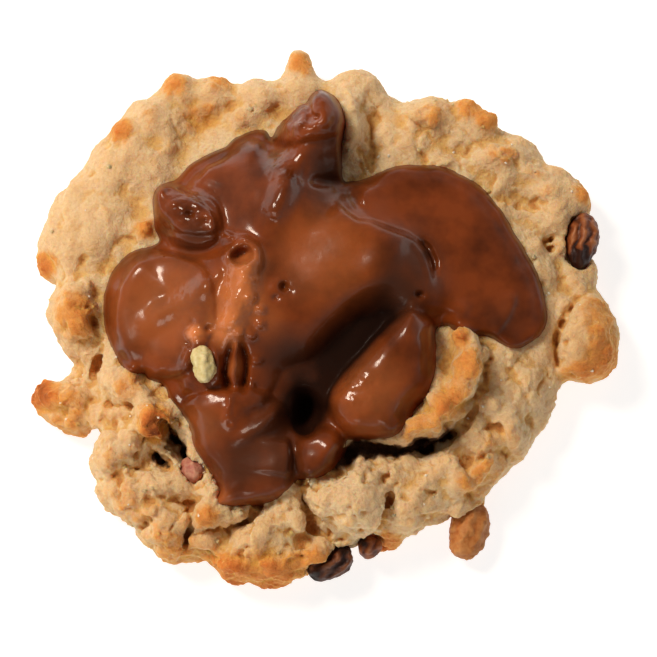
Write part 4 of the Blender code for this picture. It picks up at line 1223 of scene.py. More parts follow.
    knobs: tuple[Knob, ...] = (
        Knob(-33.9, -6.8, 0.9, 0.8, -1.2), Knob(-7.4, 27.1, 0.5, 0.6, -1.0),
        Knob(-12.7, 30.1, 1.9, 1.3, -0.9, 10), Knob(-27.2, 17.9, 1.1, 1.6, -0.7, 40),
        Knob(31.1, 17.1, 0.5, 0.6, -1.2), Knob(-31.1, 14.8, 0.6, 0.9, -0.6, 20),
        Knob(-22.4, -19.4, 1.0, 1.1, -2.4), Knob(19.4, -18.9, 0.4, 0.6, -1.2),
        Knob(25.6, -17.9, 0.5, 0.6, -1.2), Knob(-24.6, 12.4, 1.3, 1.2, 0.9),
        Knob(-17.4, 28.3, 2.4, 2.0, 0.9), Knob(-28.0, 26.1, 1.4, 1.3, 0.7),
        Knob(-11.2, 27.8, 1.6, 1.2, 0.6), Knob(-21.6, 23.9, 1.2, 1.0, 0.4),
        Knob(-21.3, 32.6, 1.6, 1.5, 0.6), Knob(-14.2, 33.1, 1.2, 1.0, 0.5),
        Knob(14.5, 27.8, 1.7, 1.5, 0.8), Knob(19.2, 29.5, 1.3, 1.1, 0.4),
        Knob(22.0, 27.8, 1.2, 1.1, 0.4), Knob(24.1, 22.7, 1.4, 1.2, 0.8),
        Knob(16.1, 21.6, 1.0, 0.9, 0.6), Knob(18.2, -1.9, 1.0, 0.95, 1.3),
        Knob(8.5, -30.5, 1.4, 1.2, 0.7), Knob(-15.6, -26.4, 1.5, 1.1, 0.6),
        Knob(-29.1, -20.2, 0.6, 1.3, 0.5, 10), Knob(11.6, 24.6, 1.6, 1.2, 0.5),
        Knob(19.8, 18.5, 1.3, 1.1, 0.5), Knob(28.7, 20.2, 1.5, 1.3, 0.6),
        Knob(32.1, 15.7, 1.2, 1.3, 0.5), Knob(26.7, 17.8, 1.1, 1.0, 0.45),
        Knob(17.9, 24.6, 1.4, 1.2, 0.5), Knob(8.9, 23.3, 1.3, 1.1, 0.4), Knob(34.2, 4.8, 1.4, 1.0, 0.5),
        Knob(-33.0, -4.4, 1.2, 0.9, 0.5), Knob(-35.4, 2.7, 1.5, 1.3, 0.4),
        Knob(-36.0, -10.9, 1.6, 1.3, 0.6), Knob(-38.4, -10.3, 1.3, 1.1, 0.5),
        Knob(-34.9, -14.4, 1.5, 1.1, 0.5), Knob(-27.4, -24.6, 1.2, 0.9, 0.5),
        Knob(-23.9, -23.5, 1.1, 0.9, 0.4), Knob(-11.6, -30.8, 1.6, 1.1, 0.6),
        Knob(-7.8, -32.8, 1.5, 1.0, 0.5), Knob(-4.8, -32.3, 1.2, 1.1, 0.5),
        Knob(-13.7, -32.8, 1.3, 1.0, 0.5), Knob(-20.5, -30.1, 1.3, 1.2, 0.5),
        Knob(-6.2, -26.7, 1.1, 0.9, 0.4), Knob(13.7, -25.3, 1.4, 1.1, 0.5),
        Knob(17.1, -25.3, 1.2, 1.0, 0.5), Knob(23.9, -21.9, 1.2, 1.2, 0.5),
        Knob(9.6, -24.6, 1.0, 1.4, 0.3), Knob(11.4, -12.6, 1.2, 0.8, 0.6, 30),
        Knob(14.1, -10.9, 1.3, 0.9, 0.5, 35), Knob(17.1, -8.2, 1.2, 0.9, 0.5, 40),
        Knob(18.7, -5.2, 1.1, 1.2, 0.5), Knob(15.7, -12.6, 1.0, 0.8, 0.4),
    )
    toasted: tuple[Spot, ...] = (
        Spot(-22.9, -14.2, 2.8, 0.45), Spot(19.0, -6.0, 3.6, 0.22), Spot(17.0, -11.2, 3.0, 0.22),
        Spot(-21.3, 33.0, 3.0, 0.42), Spot(-14.2, 33.6, 2.8, 0.32), Spot(-17.4, 28.3, 3.6, 0.36),
        Spot(-28.4, 26.4, 2.6, 0.5), Spot(-11.2, 27.8, 3.0, 0.14), Spot(-21.6, 24.0, 2.8, 0.1),
        Spot(-24.6, 12.4, 2.3, 0.42), Spot(-38.8, 7.5, 2.6, 0.65), Spot(14.5, 27.8, 3.4, 0.26),
        Spot(19.2, 29.8, 3.2, 0.34), Spot(22.4, 27.8, 2.8, 0.34), Spot(24.1, 22.7, 3.0, 0.2),
        Spot(36.3, 17.8, 2.8, 0.42), Spot(18.2, -2.1, 1.9, 0.5), Spot(19.2, -6.0, 4.2, 0.3),
        Spot(16.4, -11.0, 4.2, 0.32), Spot(12.6, -14.4, 3.8, 0.36), Spot(8.5, -30.4, 2.8, 0.6),
        Spot(-15.6, -26.4, 2.6, 0.5), Spot(-33.8, 0.4, 4.4, 0.5), Spot(-39.2, -10.0, 3.4, 0.8),
        Spot(-35.0, -13.0, 5.0, 0.25), Spot(-23.0, -13.4, 3.4, 0.66), Spot(-23.0, -15.8, 1.4, 0.6),
        Spot(-26.6, -8.8, 3.2, 0.3), Spot(-8.0, -34.6, 6.0, 0.55), Spot(-14.0, -34.0, 4.0, 0.6),
        Spot(38.0, -5.2, 4.6, 0.62), Spot(37.6, 0.4, 4.0, 0.35), Spot(34.0, -7.6, 3.0, 0.45),
        Spot(23.0, -18.0, 5.0, 0.25), Spot(20.0, -22.0, 4.2, 0.28), Spot(-20.0, -31.4, 5.0, 0.26),
        Spot(-2.0, -33.0, 4.0, 0.35), Spot(-3.4, 35.6, 2.4, 0.35), Spot(-26.0, -25.0, 4.0, 0.1),
    )
    slit: tuple[tuple[float, float], ...] = ((4.4, 31.2), (5.6, 26.0), (6.0, 22.0), (6.8, 18.8))

    def build(self) -> bpy.types.Object:
        """Make the cookie.

        Returns:
            The finished piece.
        """
        ob = voxels(merged_copy("dough", "baked_dough"), self.grain)
        soften(ob, 4)
        view = SeenMap(ragged=0.36, ragged_mm=1.1)
        covered = soft_step(view.depth_inside(CHOCOLATE_EDGE), 0.6, 2.4)
        self._level(ob, view)
        self._draw(ob.data, view, covered)
        voxels(ob, self.grain)
        self._mark_rough(ob.data, view, covered)
        run_tree(ob, self.relief.tree(), self.relief.numbers())
        self._flatten(ob.data)
        thin_out(ob, self.triangles, self._hidden(ob.data, view))
        run_tree(ob, HollowMap().tree(), {})
        self._brown(ob.data, view)
        ob.data.materials.clear()
        ob.data.materials.append(self.finish.material())
        ob.data.shade_smooth()
        return ob

    def _level(self, ob: bpy.types.Object, view: SeenMap) -> None:
        """Fill the slit by the upper nut, where a wide soft hollow is drawn afterwards.

        Args:
            ob: the dough.
            view: the map.
        """
        eye = np.array(towards_eye())
        away = view.along(self.slit)[0]
        level = view.filled(np.where(away > 1.4, view.cast(tree_of(ob)), np.nan), 0.9)
        points = points_of(ob.data)
        places = seen_places(points)
        height = points @ eye / MM - np.array((*MIDDLE_SHIFT, 0.0)) @ eye
        gap = view.sampled(level, places) - 0.3 - height
        inside = (view.sampled(away, places) < 1.7) & (gap > 0.0) & (gap < 5.0)
        points += np.where(inside, gap * MM, 0.0)[:, None] * eye
        put_points(ob.data, points)

    def _draw(self, mesh: bpy.types.Mesh, view: SeenMap, covered: np.ndarray) -> None:
        """Raise the blocks and cut the cracks, and sink the hole that the chocolate lines.

        Args:
            mesh: the dough.
            view: the map that they are drawn on.
            covered: 1 where chocolate lies over the dough.
        """
        lift = (view.drawn(self.forms) + view.knobbed(self.knobs)) * (1.0 - covered)
        lift += view.knobbed([Knob(-2.5, -12.3, 2.4, 4.0, -self.hole_depth, 8)])
        points, normals = points_of(mesh), normals_of(mesh)
        eye = np.array(towards_eye())
        facing = soft_step(normals @ eye, 0.0, 0.4)
        points += (view.sampled(lift, seen_places(points)) * facing * MM)[:, None] * eye
        put_points(mesh, points)

    def _mark_rough(self, mesh: bpy.types.Mesh, view: SeenMap, covered: np.ndarray) -> None:
        """Store how craggy each part is: soft at the upper left, broken low in the picture, level underneath.

        Args:
            mesh: the dough.
            view: the map.
            covered: 1 where chocolate lies over the dough.
        """
        points = points_of(mesh)
        places = seen_places(points)
        angle = np.arctan2(places[:, 1], places[:, 0])
        soft = 0.5 + 0.5 * np.cos(angle - math.radians(135.0))
        broken = 0.5 + 0.5 * np.cos(angle - math.radians(-125.0))
        rough = 0.8 - 0.35 * soft_step(soft, 0.5, 0.95) + 0.35 * soft_step(broken, 0.4, 0.95)
        rough *= 1.0 - 0.75 * view.sampled(covered, places)
        above = soft_step(points[:, 2] / MM, 0.1, 1.6)
        put_values(mesh, "rough", rough * above)
        open_to_see = 1.0 - view.sampled(covered, places)
        put_values(mesh, "broken", (0.12 + 0.88 * soft_step(broken, 0.3, 0.9)) * open_to_see * above)

    def _hidden(self, mesh: bpy.types.Mesh, view: SeenMap) -> np.ndarray:
        """Which vertices lie underneath or deep under the chocolate.

        Args:
            mesh: the dough.
            view: the map.

        Returns:
            True where nobody sees the dough.
        """
        points, upright = points_of(mesh), normals_of(mesh)[:, 2]
        under = view.sampled(view.depth_inside(CHOCOLATE_EDGE), seen_places(points)) > 1.5
        return (points[:, 2] < 0.3 * MM) | (under & (upright > 0.0)) | (upright < -0.6)

    def _flatten(self, mesh: bpy.types.Mesh) -> None:
        """Keep the underside on the table.

        Args:
            mesh: the dough.
        """
        points = points_of(mesh)
        points[points[:, 2] < 0.12 * MM, 2] = 0.0
        put_points(mesh, points)

    def _brown(self, mesh: bpy.types.Mesh, view: SeenMap) -> None:
        """Store toast, browning by height, rim, tips and the named patches, and deep, painted shadow inside
        the cracks.

        Args:
            mesh: the dough.
            view: the map.
        """
        points = points_of(mesh)
        places = seen_places(points)
        reach = np.hypot(places[:, 0], places[:, 1] - 0.8)
        height = points[:, 2] / MM
        tip = np.clip(-values_of(mesh, "hollow"), 0.0, 1.0)
        toast = 0.1 * soft_step(reach, 28.0, 37.0) + 0.14 * tip
        # A browned patch lies on the top, so it fades where the surface turns down the flank.
        upward = 0.12 + 0.88 * soft_step(normals_of(mesh) @ np.array(towards_eye()), -0.05, 0.4)
        toast += 0.3 * (1.0 - soft_step(height, 0.5, 5.0)) + patches(places, self.toasted) * upward
        put_values(mesh, "toast", toast)
        # Painted shadow: drawn cracks and pits deeper than about 1.7 mm darken towards near black.
        cuts = [form for form in self.forms if form.rise < -1.0]
        pits = [knob for knob in self.knobs if knob.rise < -1.0]
        depth = view.sampled(view.drawn(cuts) + view.knobbed(pits), places)
        put_values(mesh, "deep", 0.95 * soft_step(-depth, 1.7, 3.3))


# Outline of the lobe of chocolate beside the hole, in seen millimetres.
LOBE_EDGE = (
    (13.2, 0.6), (14.8, -0.4), (15.0, -2.6), (14.8, -5.2), (14.5, -7.8), (13.5, -9.8), (12.0, -11.9),
    (10.4, -14.2), (9.0, -15.5), (6.7, -16.2), (4.2, -16.2), (2.5, -15.2), (1.2, -13.4), (0.2, -11.4),
    (0.4, -9.8), (1.6, -8.0), (3.2, -6.0), (4.9, -4.1), (6.5, -2.3), (8.2, -0.6), (9.9, 0.8), (11.6, 1.4),
)


@dataclass
class ChocolateCoat:
    """The run of chocolate: the solid's mass, with its folds, coated nuts, bubbles and slots drawn."""

    grain: float = 0.24
    calm: float = 2.5
    wide: float = 4.2
    border_rise: float = 2.9
    border_edge: float = 3.0
    triangles: int = 170000
    finish: MilkChocolate = field(default_factory=MilkChocolate)
    relief: CrumbRelief = CrumbRelief(
        swell_mm=2.4, swell_height=1.1, crumb_mm=1.3, crumb_height=0.3, grain_mm=0.6, grain_height=0.05,
        crack_mm=4.0, crack_depth=0.0, seed=11, clump_mm=3.0, clump_height=0.0)
    folds: tuple[Form, ...] = (
        Form(Cut.LIP, ((14.9, -0.8), (13.8, 0.7), (12.7, 1.6), (11.4, 2.7)), 0.7, 0.5, 1.6),
        Form(Cut.LIP, ((-23.7, 9.3), (-24.9, 8.5), (-26.5, 6.8), (-27.9, 4.4), (-28.6, 1.6),
             (-28.5, -1.4), (-27.6, -4.1), (-26.1, -6.3)), 0.7, 1.6, 4.0),
        Form(Cut.LIP, ((-7.3, 23.0), (-8.6, 24.4), (-10.3, 24.8), (-12.2, 23.8), (-13.5, 22.2),
             (-16.0, 20.8), (-17.0, 19.4), (-17.4, 18.1)), 0.7, 0.8, 3.0),
        Form(Cut.LIP, ((22.3, -2.9), (23.9, -1.4), (25.0, 0.3), (25.9, 2.3), (26.1, 3.8)), 0.5, 0.7,
             1.8),
        Form(Cut.LIP, ((-4.4, -21.3), (-4.0, -18.5), (-3.8, -15.9)), 1.6, 2.2, 4.5),
        Form(Cut.DOME, LOBE_EDGE, 4.8, 4.6),
        Form(Cut.DOME, ((-3.4, -15.0), (-1.8, -14.2), (0.4, -14.2), (2.1, -15.0), (2.9, -16.4),
             (2.6, -18.1), (1.5, -19.6), (-0.4, -20.7), (-2.3, -21.2), (-3.7, -20.5), (-4.2, -18.5),
             (-4.1, -16.4)), 2.8, 3.0),
        Form(Cut.DOME, ((-19.0, -11.0), (-15.5, -9.5), (-11.0, -9.0), (-7.0, -10.0), (-4.5, -12.0),
             (-4.4, -16.0), (-4.4, -20.0), (-5.5, -23.0), (-8.5, -24.6), (-12.5, -24.7), (-14.3,
             -23.8), (-14.5, -21.0), (-16.6, -18.0), (-18.2, -14.5)), 2.6, 5.0),
        Form(Cut.DOME, ((-29.6, 3.0), (-28.2, 7.0), (-24.0, 9.6), (-20.0, 9.0), (-15.5, 6.5),
             (-14.5, 1.0), (-16.0, -4.0), (-20.0, -7.8), (-25.0, -7.0), (-28.7, -3.5)), 2.0, 5.0),
    )
    soft: tuple[Form, ...] = (
        Form(Cut.LIP, ((13.4, -1.6), (14.8, 0.6), (15.4, 2.8), (15.4, 5.0), (14.9, 7.2), (13.7, 9.3),
             (12.2, 10.9), (10.0, 12.4), (7.0, 14.0)), 1.2, 6.5, 13.0),
        Form(Cut.RIDGE, ((9.8, 3.4), (7.4, 1.4), (5.0, -0.4), (2.8, -2.6), (0.8, -5.0), (-1.0,
             -7.6), (-2.6, -10.2), (-3.2, -12.4)), -3.0, 4.2, 4.1),
        Form(Cut.RIDGE, ((7.6, 0.6), (5.8, -1.2), (4.0, -3.2), (2.4, -5.3), (0.8, -7.4), (-0.6,
             -9.3), (-1.6, -10.8)), -1.5, 2.6, 2.5),
        Form(Cut.RIDGE, ((-4.4, -5.0), (-5.0, -9.5), (-5.0, -12.5), (-4.4, -16.5)), -2.0, 3.4, 3.3),
        Form(Cut.RIDGE, ((-2.6, 20.8), (-0.2, 20.6), (3.4, 21.0)), -1.8, 4.2, 4.1),
    )
    masses: tuple[Form, ...] = (
        Form(Cut.LIP, ((12.2, 11.0), (10.6, 11.7), (9.3, 12.1), (7.5, 12.9), (6.2, 13.4), (4.4,
             13.6), (2.9, 14.7), (1.4, 16.2)), 1.3, 1.0, 4.0),
        Form(Cut.DOME, ((-3.8, -9.8), (-2.2, -8.8), (-0.9, -9.3), (-0.6, -11.0), (-0.7, -13.2),
             (-1.5, -15.0), (-2.9, -15.7), (-4.2, -15.0), (-4.8, -13.0), (-4.6, -11.2)), -5.0, 1.5),
        Form(Cut.DOME, ((-5.9, 23.8), (-6.8, 25.2), (-6.0, 26.9), (-4.6, 28.3), (-3.1, 29.2), (-2.3,
             29.9), (-1.8, 31.0), (-0.8, 31.7), (0.4, 31.2), (1.3, 30.0), (2.1, 28.4), (2.4, 26.8),
             (2.2, 25.3), (0.4, 24.6), (-1.8, 24.2), (-4.0, 23.6)), 1.9, 1.5),
        Form(Cut.DOME, ((-1.9, 30.4), (-1.2, 31.4), (-0.2, 31.3), (0.9, 30.3), (1.3, 28.6), (1.3,
             27.0), (0.6, 25.9), (-0.6, 25.6), (-1.6, 26.6), (-2.1, 28.6)), 1.2, 1.3),
        Form(Cut.RIDGE, ((-2.2, 18.9), (0.0, 18.6), (3.2, 19.0)), -1.0, 1.3, 1.2),
        Form(Cut.RIDGE, ((-2.6, 29.5), (-2.2, 28.0), (-2.1, 26.4)), -0.9, 0.7, 0.6),
        Form(Cut.DOME, ((-23.4, 15.6), (-23.2, 17.8), (-21.8, 18.8), (-20.2, 18.4), (-18.6, 17.6),
             (-17.0, 17.0), (-15.4, 16.2), (-14.2, 14.8), (-13.7, 13.2), (-13.8, 11.6), (-15.0, 10.4),
             (-17.0, 10.0), (-19.2, 10.3), (-21.2, 11.4), (-22.8, 13.2)), 1.5, 1.0),
        Form(Cut.DOME, ((-22.9, 16.4), (-22.6, 17.9), (-21.4, 18.4), (-20.0, 18.0), (-18.2, 17.0),
             (-16.6, 15.9), (-15.2, 14.6), (-14.4, 13.0), (-14.7, 11.7), (-16.2, 11.4), (-18.2,
             11.6), (-20.2, 12.3), (-21.9, 13.8)), 1.1, 0.7),
        Form(Cut.RIDGE, ((-18.4, 18.0), (-16.6, 17.1), (-15.0, 16.0), (-14.0, 14.4)), 0.5, 0.5, 0.4),
        Form(Cut.RIDGE, ((-24.0, 12.0), (-22.6, 10.8), (-20.8, 9.7), (-18.2, 9.1), (-15.6, 9.2), (-13.4,
             10.0)), -1.0, 1.2, 1.1),
        Form(Cut.DOME, ((-18.6, -3.2), (-17.2, -2.6), (-15.2, -2.8), (-14.2, -4.5), (-13.9, -6.5),
             (-14.2, -8.6), (-16.2, -9.4), (-18.0, -8.6), (-18.9, -6.6), (-19.1, -4.8)), 0.9, 1.4),
    )
    steep: tuple[Spot, ...] = (
        Spot(-0.4, 27.6, 7.5, 0.9), Spot(0.2, 21.5, 5.0, 0.6), Spot(-22.0, 16.0, 4.0, 0.45),
    )
    lines: tuple[Form, ...] = (
        Form(Cut.RIDGE, ((10.8, 11.2), (12.2, 10.1), (13.2, 8.7), (13.8, 7.0), (14.2, 5.0)), 0.45,
             0.8, 0.7),
        Form(Cut.RIDGE, ((12.9, 10.9), (14.0, 9.5), (14.7, 7.8), (14.9, 6.2)), -1.7, 0.6, 0.5),
        Form(Cut.RIDGE, ((-11.8, -16.2), (-8.6, -14.4), (-5.8, -11.8)), 0.8, 1.4, 1.3),
        Form(Cut.RIDGE, ((-10.8, -13.0), (-8.2, -11.8), (-6.0, -9.8)), -0.7, 1.3, 1.2),
        Form(Cut.RIDGE, ((-4.8, -15.6), (-4.9, -18.4), (-5.2, -21.6)), 0.5, 0.9, 0.8),
        Form(Cut.RIDGE, ((-9.8, 6.3), (-10.8, 3.7), (-12.2, 0.8), (-13.4, -2.2)), 1.1, 2.4, 2.2),
        Form(Cut.RIDGE, ((-12.3, -3.4), (-12.2, -5.5), (-12.2, -7.7), (-11.9, -9.3)), 0.8, 0.8,
             0.7),
        Form(Cut.RIDGE, ((-18.7, -4.1), (-19.1, -6.4), (-18.5, -8.7), (-16.9, -9.8), (-14.9,
             -9.4)), 0.7, 1.1, 1.0),
        Form(Cut.RIDGE, ((-14.5, -4.1), (-14.2, -6.6), (-14.4, -8.8)), 0.5, 0.6, 0.5),
        Form(Cut.RIDGE, ((-12.7, -9.8), (-12.9, -12.0), (-13.1, -13.1)), 0.5, 0.7, 0.6),
        Form(Cut.RIDGE, ((-5.5, 23.3), (-6.0, 20.5), (-5.3, 18.1), (-6.2, 15.6), (-7.3, 13.1)), 1.5,
             2.6, 2.5),
        Form(Cut.RIDGE, ((-14.6, 5.7), (-16.6, 4.1), (-19.0, 2.3), (-21.8, 1.1), (-23.7, -0.3)),
             1.0, 2.2, 2.1),
        Form(Cut.RIDGE, ((-13.3, 11.4), (-12.2, 10.9), (-10.8, 10.9), (-9.2, 10.1)), 0.7, 0.7, 0.6),
        Form(Cut.RIDGE, ((3.4, 14.8), (2.7, 16.4), (2.9, 18.1), (4.2, 18.6)), 0.3, 0.4, 0.4),
        Form(Cut.RIDGE, ((5.6, 18.3), (5.2, 16.4), (4.8, 14.8)), 0.3, 0.4, 0.4),
        Form(Cut.RIDGE, ((-12.4, -3.1), (-13.1, -5.1), (-13.4, -7.1), (-13.1, -9.3)), -2.2, 0.5,
             0.36),
        Form(Cut.RIDGE, ((-11.1, -3.1), (-10.6, -5.2), (-10.7, -7.3), (-10.9, -9.3)), -2.3, 0.5,
             0.36),
        Form(Cut.RIDGE, ((3.4, 17.8), (4.2, 16.1), (5.1, 14.8)), -0.7, 0.9, 0.7),
        Form(Cut.RIDGE, ((-13.8, 9.3), (-13.0, 6.6), (-14.1, 4.1)), -0.8, 1.0, 0.9),
    )
    knobs: tuple[Knob, ...] = (
        Knob(-4.0, 26.4, 2.4, 1.8, 0.8, 25), Knob(-4.7, 27.4, 0.8, 0.5, 0.6, 30),
        Knob(-11.0, 8.2, 3.1, 2.8, 1.9), Knob(-13.3, 11.2, 0.9, 0.9, 0.8),
        Knob(-12.6, 5.8, 0.8, 0.7, 0.5), Knob(-10.2, 5.4, 1.6, 0.6, 0.6),
        Knob(-10.8, 10.9, 0.9, 0.7, 0.5), Knob(-9.8, 2.9, 0.9, 0.8, 0.7),
        Knob(-8.5, 1.4, 0.9, 0.8, 0.75), Knob(-8.7, -0.6, 0.9, 0.8, 0.75),
        Knob(-9.6, -2.1, 0.9, 0.8, 0.65), Knob(-11.2, -1.8, 0.8, 0.9, 0.75),
        Knob(-12.2, 2.7, 1.1, 0.9, 0.3),
        Knob(-17.5, -1.9, 1.1, 1.0, 0.8), Knob(-19.6, -6.8, 1.3, 1.5, 0.4),
        Knob(-10.2, -8.8, 1.0, 0.8, 0.65), Knob(-9.0, -5.5, 1.1, 0.7, 0.6),
        Knob(-12.7, -13.8, 0.9, 0.9, 0.45), Knob(-11.6, -3.6, 0.6, 0.7, 0.4),
        Knob(-3.6, 26.2, 0.8, 0.7, 0.8), Knob(-5.0, 26.1, 0.8, 0.7, 0.8),
        Knob(-5.2, 25.9, 0.8, 0.8, 0.35), Knob(-1.2, 29.5, 1.1, 1.1, 0.5),
        Knob(0.2, 27.2, 0.9, 1.4, 0.5), Knob(-1.1, 28.3, 1.0, 0.7, 0.45), Knob(-0.1, 29.1, 0.9, 1.0, 0.25),
        Knob(-2.6, 27.8, 1.0, 0.9, 0.4), Knob(-5.6, 24.4, 1.1, 1.0, 0.4),
        Knob(-1.8, 25.6, 1.0, 0.8, 0.3), Knob(-21.5, 17.8, 1.0, 0.9, 0.35),
        Knob(-20.1, 15.6, 1.1, 0.8, 0.4), Knob(-19.0, 14.8, 0.9, 0.7, 0.35),
        Knob(-17.1, 13.4, 1.0, 0.7, 0.4), Knob(-15.6, 13.4, 1.1, 0.8, 0.4),
        Knob(-17.6, 15.6, 1.3, 0.7, 0.3, -25), Knob(-15.0, 12.2, 1.0, 0.7, 0.3),
        Knob(-6.3, 4.4, 1.2, 1.3, 0.35), Knob(-3.8, 21.1, 1.0, 1.6, 0.3),
        Knob(-4.8, 19.2, 1.2, 1.0, 0.25), Knob(-1.0, 22.2, 1.8, 1.6, 0.3),
        Knob(0.7, 20.8, 1.2, 1.4, 0.25), Knob(-11.2, 8.5, 2.0, 1.6, -3.4, 20),
        Knob(-5.5, 4.4, 0.75, 0.9, -1.4), Knob(-6.6, 2.9, 0.5, 0.45, -0.8),
        Knob(-1.1, 27.2, 0.6, 0.55, -1.8), Knob(12.6, 3.4, 0.85, 0.55, -1.3, -10),
        Knob(-18.1, 14.2, 0.95, 0.42, -0.8, -15), Knob(-15.9, 13.3, 0.85, 0.36, -0.8, -10),
        Knob(-21.2, 17.4, 0.75, 0.5, -0.7, 50), Knob(-17.8, -0.4, 0.4, 0.4, -0.6),
        Knob(-15.6, -1.2, 0.65, 0.6, -1.0), Knob(-18.1, -3.3, 0.6, 0.7, -1.0),
        Knob(-19.0, -4.0, 0.4, 0.5, -0.6), Knob(-12.7, -13.8, 0.4, 0.4, -0.7),
        Knob(-13.1, -11.2, 0.3, 0.7, -0.5), Knob(-14.1, -1.5, 0.4, 0.4, -0.5),
        Knob(-6.7, 13.1, 0.4, 0.5, -0.3), Knob(-3.4, 28.7, 0.4, 0.3, -0.4),
        Knob(-16.4, -9.7, 0.3, 0.3, -0.2), Knob(-4.5, 3.8, 0.35, 0.35, -0.5),
        Knob(21.2, 0.5, 0.25, 0.25, -0.3), Knob(15.9, 2.2, 0.2, 0.2, -0.25),
    )
    bumpy: tuple[Spot, ...] = (
        Spot(-3.0, 26.8, 5.0, 0.65), Spot(-18.3, 14.4, 4.4, 0.7), Spot(-11.0, 6.0, 4.0, 0.7),
        Spot(-11.0, 0.0, 4.5, 0.7), Spot(-17.0, -2.0, 2.4, 0.9), Spot(-12.2, -8.0, 3.0, 0.5),
        Spot(-5.0, 20.0, 3.6, 0.6), Spot(-6.6, 14.6, 2.4, 0.5), Spot(-20.0, 2.0, 5.0, 0.3),
        Spot(-12.8, -12.6, 2.0, 0.5), Spot(4.4, -9.0, 3.6, 0.9),
    )
    # Redder where the coat runs thin over the nuts and the ridge, and painted light on the lit faces: the
    # middle, the left lobe and the lobe beside the hole.
    warm_and_lit: tuple[Spot, ...] = (
        Spot(-11.6, 3.4, 4.6, 0.72), Spot(-13.2, -1.2, 3.4, 0.8), Spot(-10.4, 7.6, 3.4, 0.5),
        Spot(-8.0, 0.0, 3.5, 0.2), Spot(-17.4, -1.8, 1.5, 1.0), Spot(0.0, 9.0, 9.0, 0.22),
        Spot(-12.0, -6.4, 1.6, 0.3), Spot(-22.0, 2.0, 9.0, 0.3), Spot(-16.4, -14.0, 4.0, 0.2),
        Spot(6.0, -9.0, 6.5, 0.25), Spot(-14.0, -24.0, 2.0, 0.3),
    )
    # Painted shade on the faces turned away from the light: the shoulder, the column's stalk, the tongue and
    # the dark side of the middle.
    painted_dark_side: tuple[Spot, ...] = (
        Spot(10.8, 6.4, 6.0, 0.7), Spot(8.6, 1.2, 5.4, 0.65), Spot(12.6, 9.2, 2.6, 0.3),
        Spot(0.4, 21.4, 3.8, 0.75), Spot(1.2, 17.4, 4.0, 0.5), Spot(-8.0, -18.6, 6.5, 0.6),
        Spot(-7.4, -13.0, 5.4, 0.6), Spot(-4.8, -20.0, 3.6, 0.35), Spot(-5.2, -4.6, 5.0, 0.7),
        Spot(2.6, -3.2, 5.0, 0.7), Spot(-12.6, -19.4, 5.0, 0.55), Spot(-17.6, 10.9, 3.0, 0.6),
        Spot(3.6, 17.0, 2.6, 0.4), Spot(1.4, 26.8, 1.8, 0.35), Spot(-10.0, 17.0, 6.0, 0.25),
        Spot(24.0, 0.4, 4.0, 0.3),
    )
    satin: tuple[Spot, ...] = (
        Spot(4.4, 9.0, 7.0, 0.85), Spot(-4.0, 11.0, 4.0, 0.3), Spot(1.4, 28.4, 3.2, 0.8),
        Spot(-1.5, 9.2, 4.0, 0.5), Spot(-0.6, 31.2, 2.2, 0.6), Spot(-22.6, 12.6, 2.8, 0.8),
        Spot(-9.8, -14.8, 3.4, 0.7), Spot(-24.6, 17.0, 2.0, 0.6), Spot(9.0, -4.6, 2.6, 0.5),
        Spot(10.0, 14.0, 3.0, 0.4), Spot(15.2, 1.8, 3.4, 0.85), Spot(12.6, 2.4, 2.4, 0.5),
        Spot(13.2, -4.4, 2.2, 0.75), Spot(13.0, -8.4, 2.2, 0.75), Spot(9.4, -14.2, 3.0, 0.6),
        Spot(4.8, -14.4, 2.8, 0.6), Spot(-5.4, -20.0, 2.6, 0.6), Spot(-16.0, -18.0, 2.4, 0.4),
    )
    shaded: tuple[Spot, ...] = (
        Spot(-2.4, -12.4, 4.6, 0.9), Spot(-4.8, -9.0, 3.4, 0.4),
        Spot(-5.0, -12.0, 3.0, 0.3), Spot(-11.9, 9.0, 1.3, 0.4), Spot(0.4, 19.2, 2.4, 0.5),
        Spot(0.8, 24.6, 1.8, 0.45), Spot(13.6, 8.8, 0.9, 0.5),
    )
    # Painted shade along the valley between the middle and the lobe, strongest at the lobe's edge.
    valley_shade: tuple[Form, ...] = (
        Form(Cut.RIDGE, ((10.8, 2.6), (8.0, 1.0), (5.4, -0.8), (3.4, -2.8), (1.6, -5.0), (0.0, -7.4),
             (-1.4, -9.8), (-2.0, -12.0)), 0.6, 5.2, 5.1),
        Form(Cut.RIDGE, ((10.4, 1.2), (8.0, -0.4), (5.8, -2.4), (4.2, -4.4), (2.6, -6.4), (1.0, -8.4),
             (-0.4, -10.4), (-1.4, -12.4)), 0.6, 2.6, 2.5),
        Form(Cut.RIDGE, ((-6.4, -6.6), (-3.8, -6.0), (-1.0, -5.2), (1.8, -3.8), (4.4, -1.6), (7.0, 0.8)),
             0.5, 4.2, 4.1),
    )

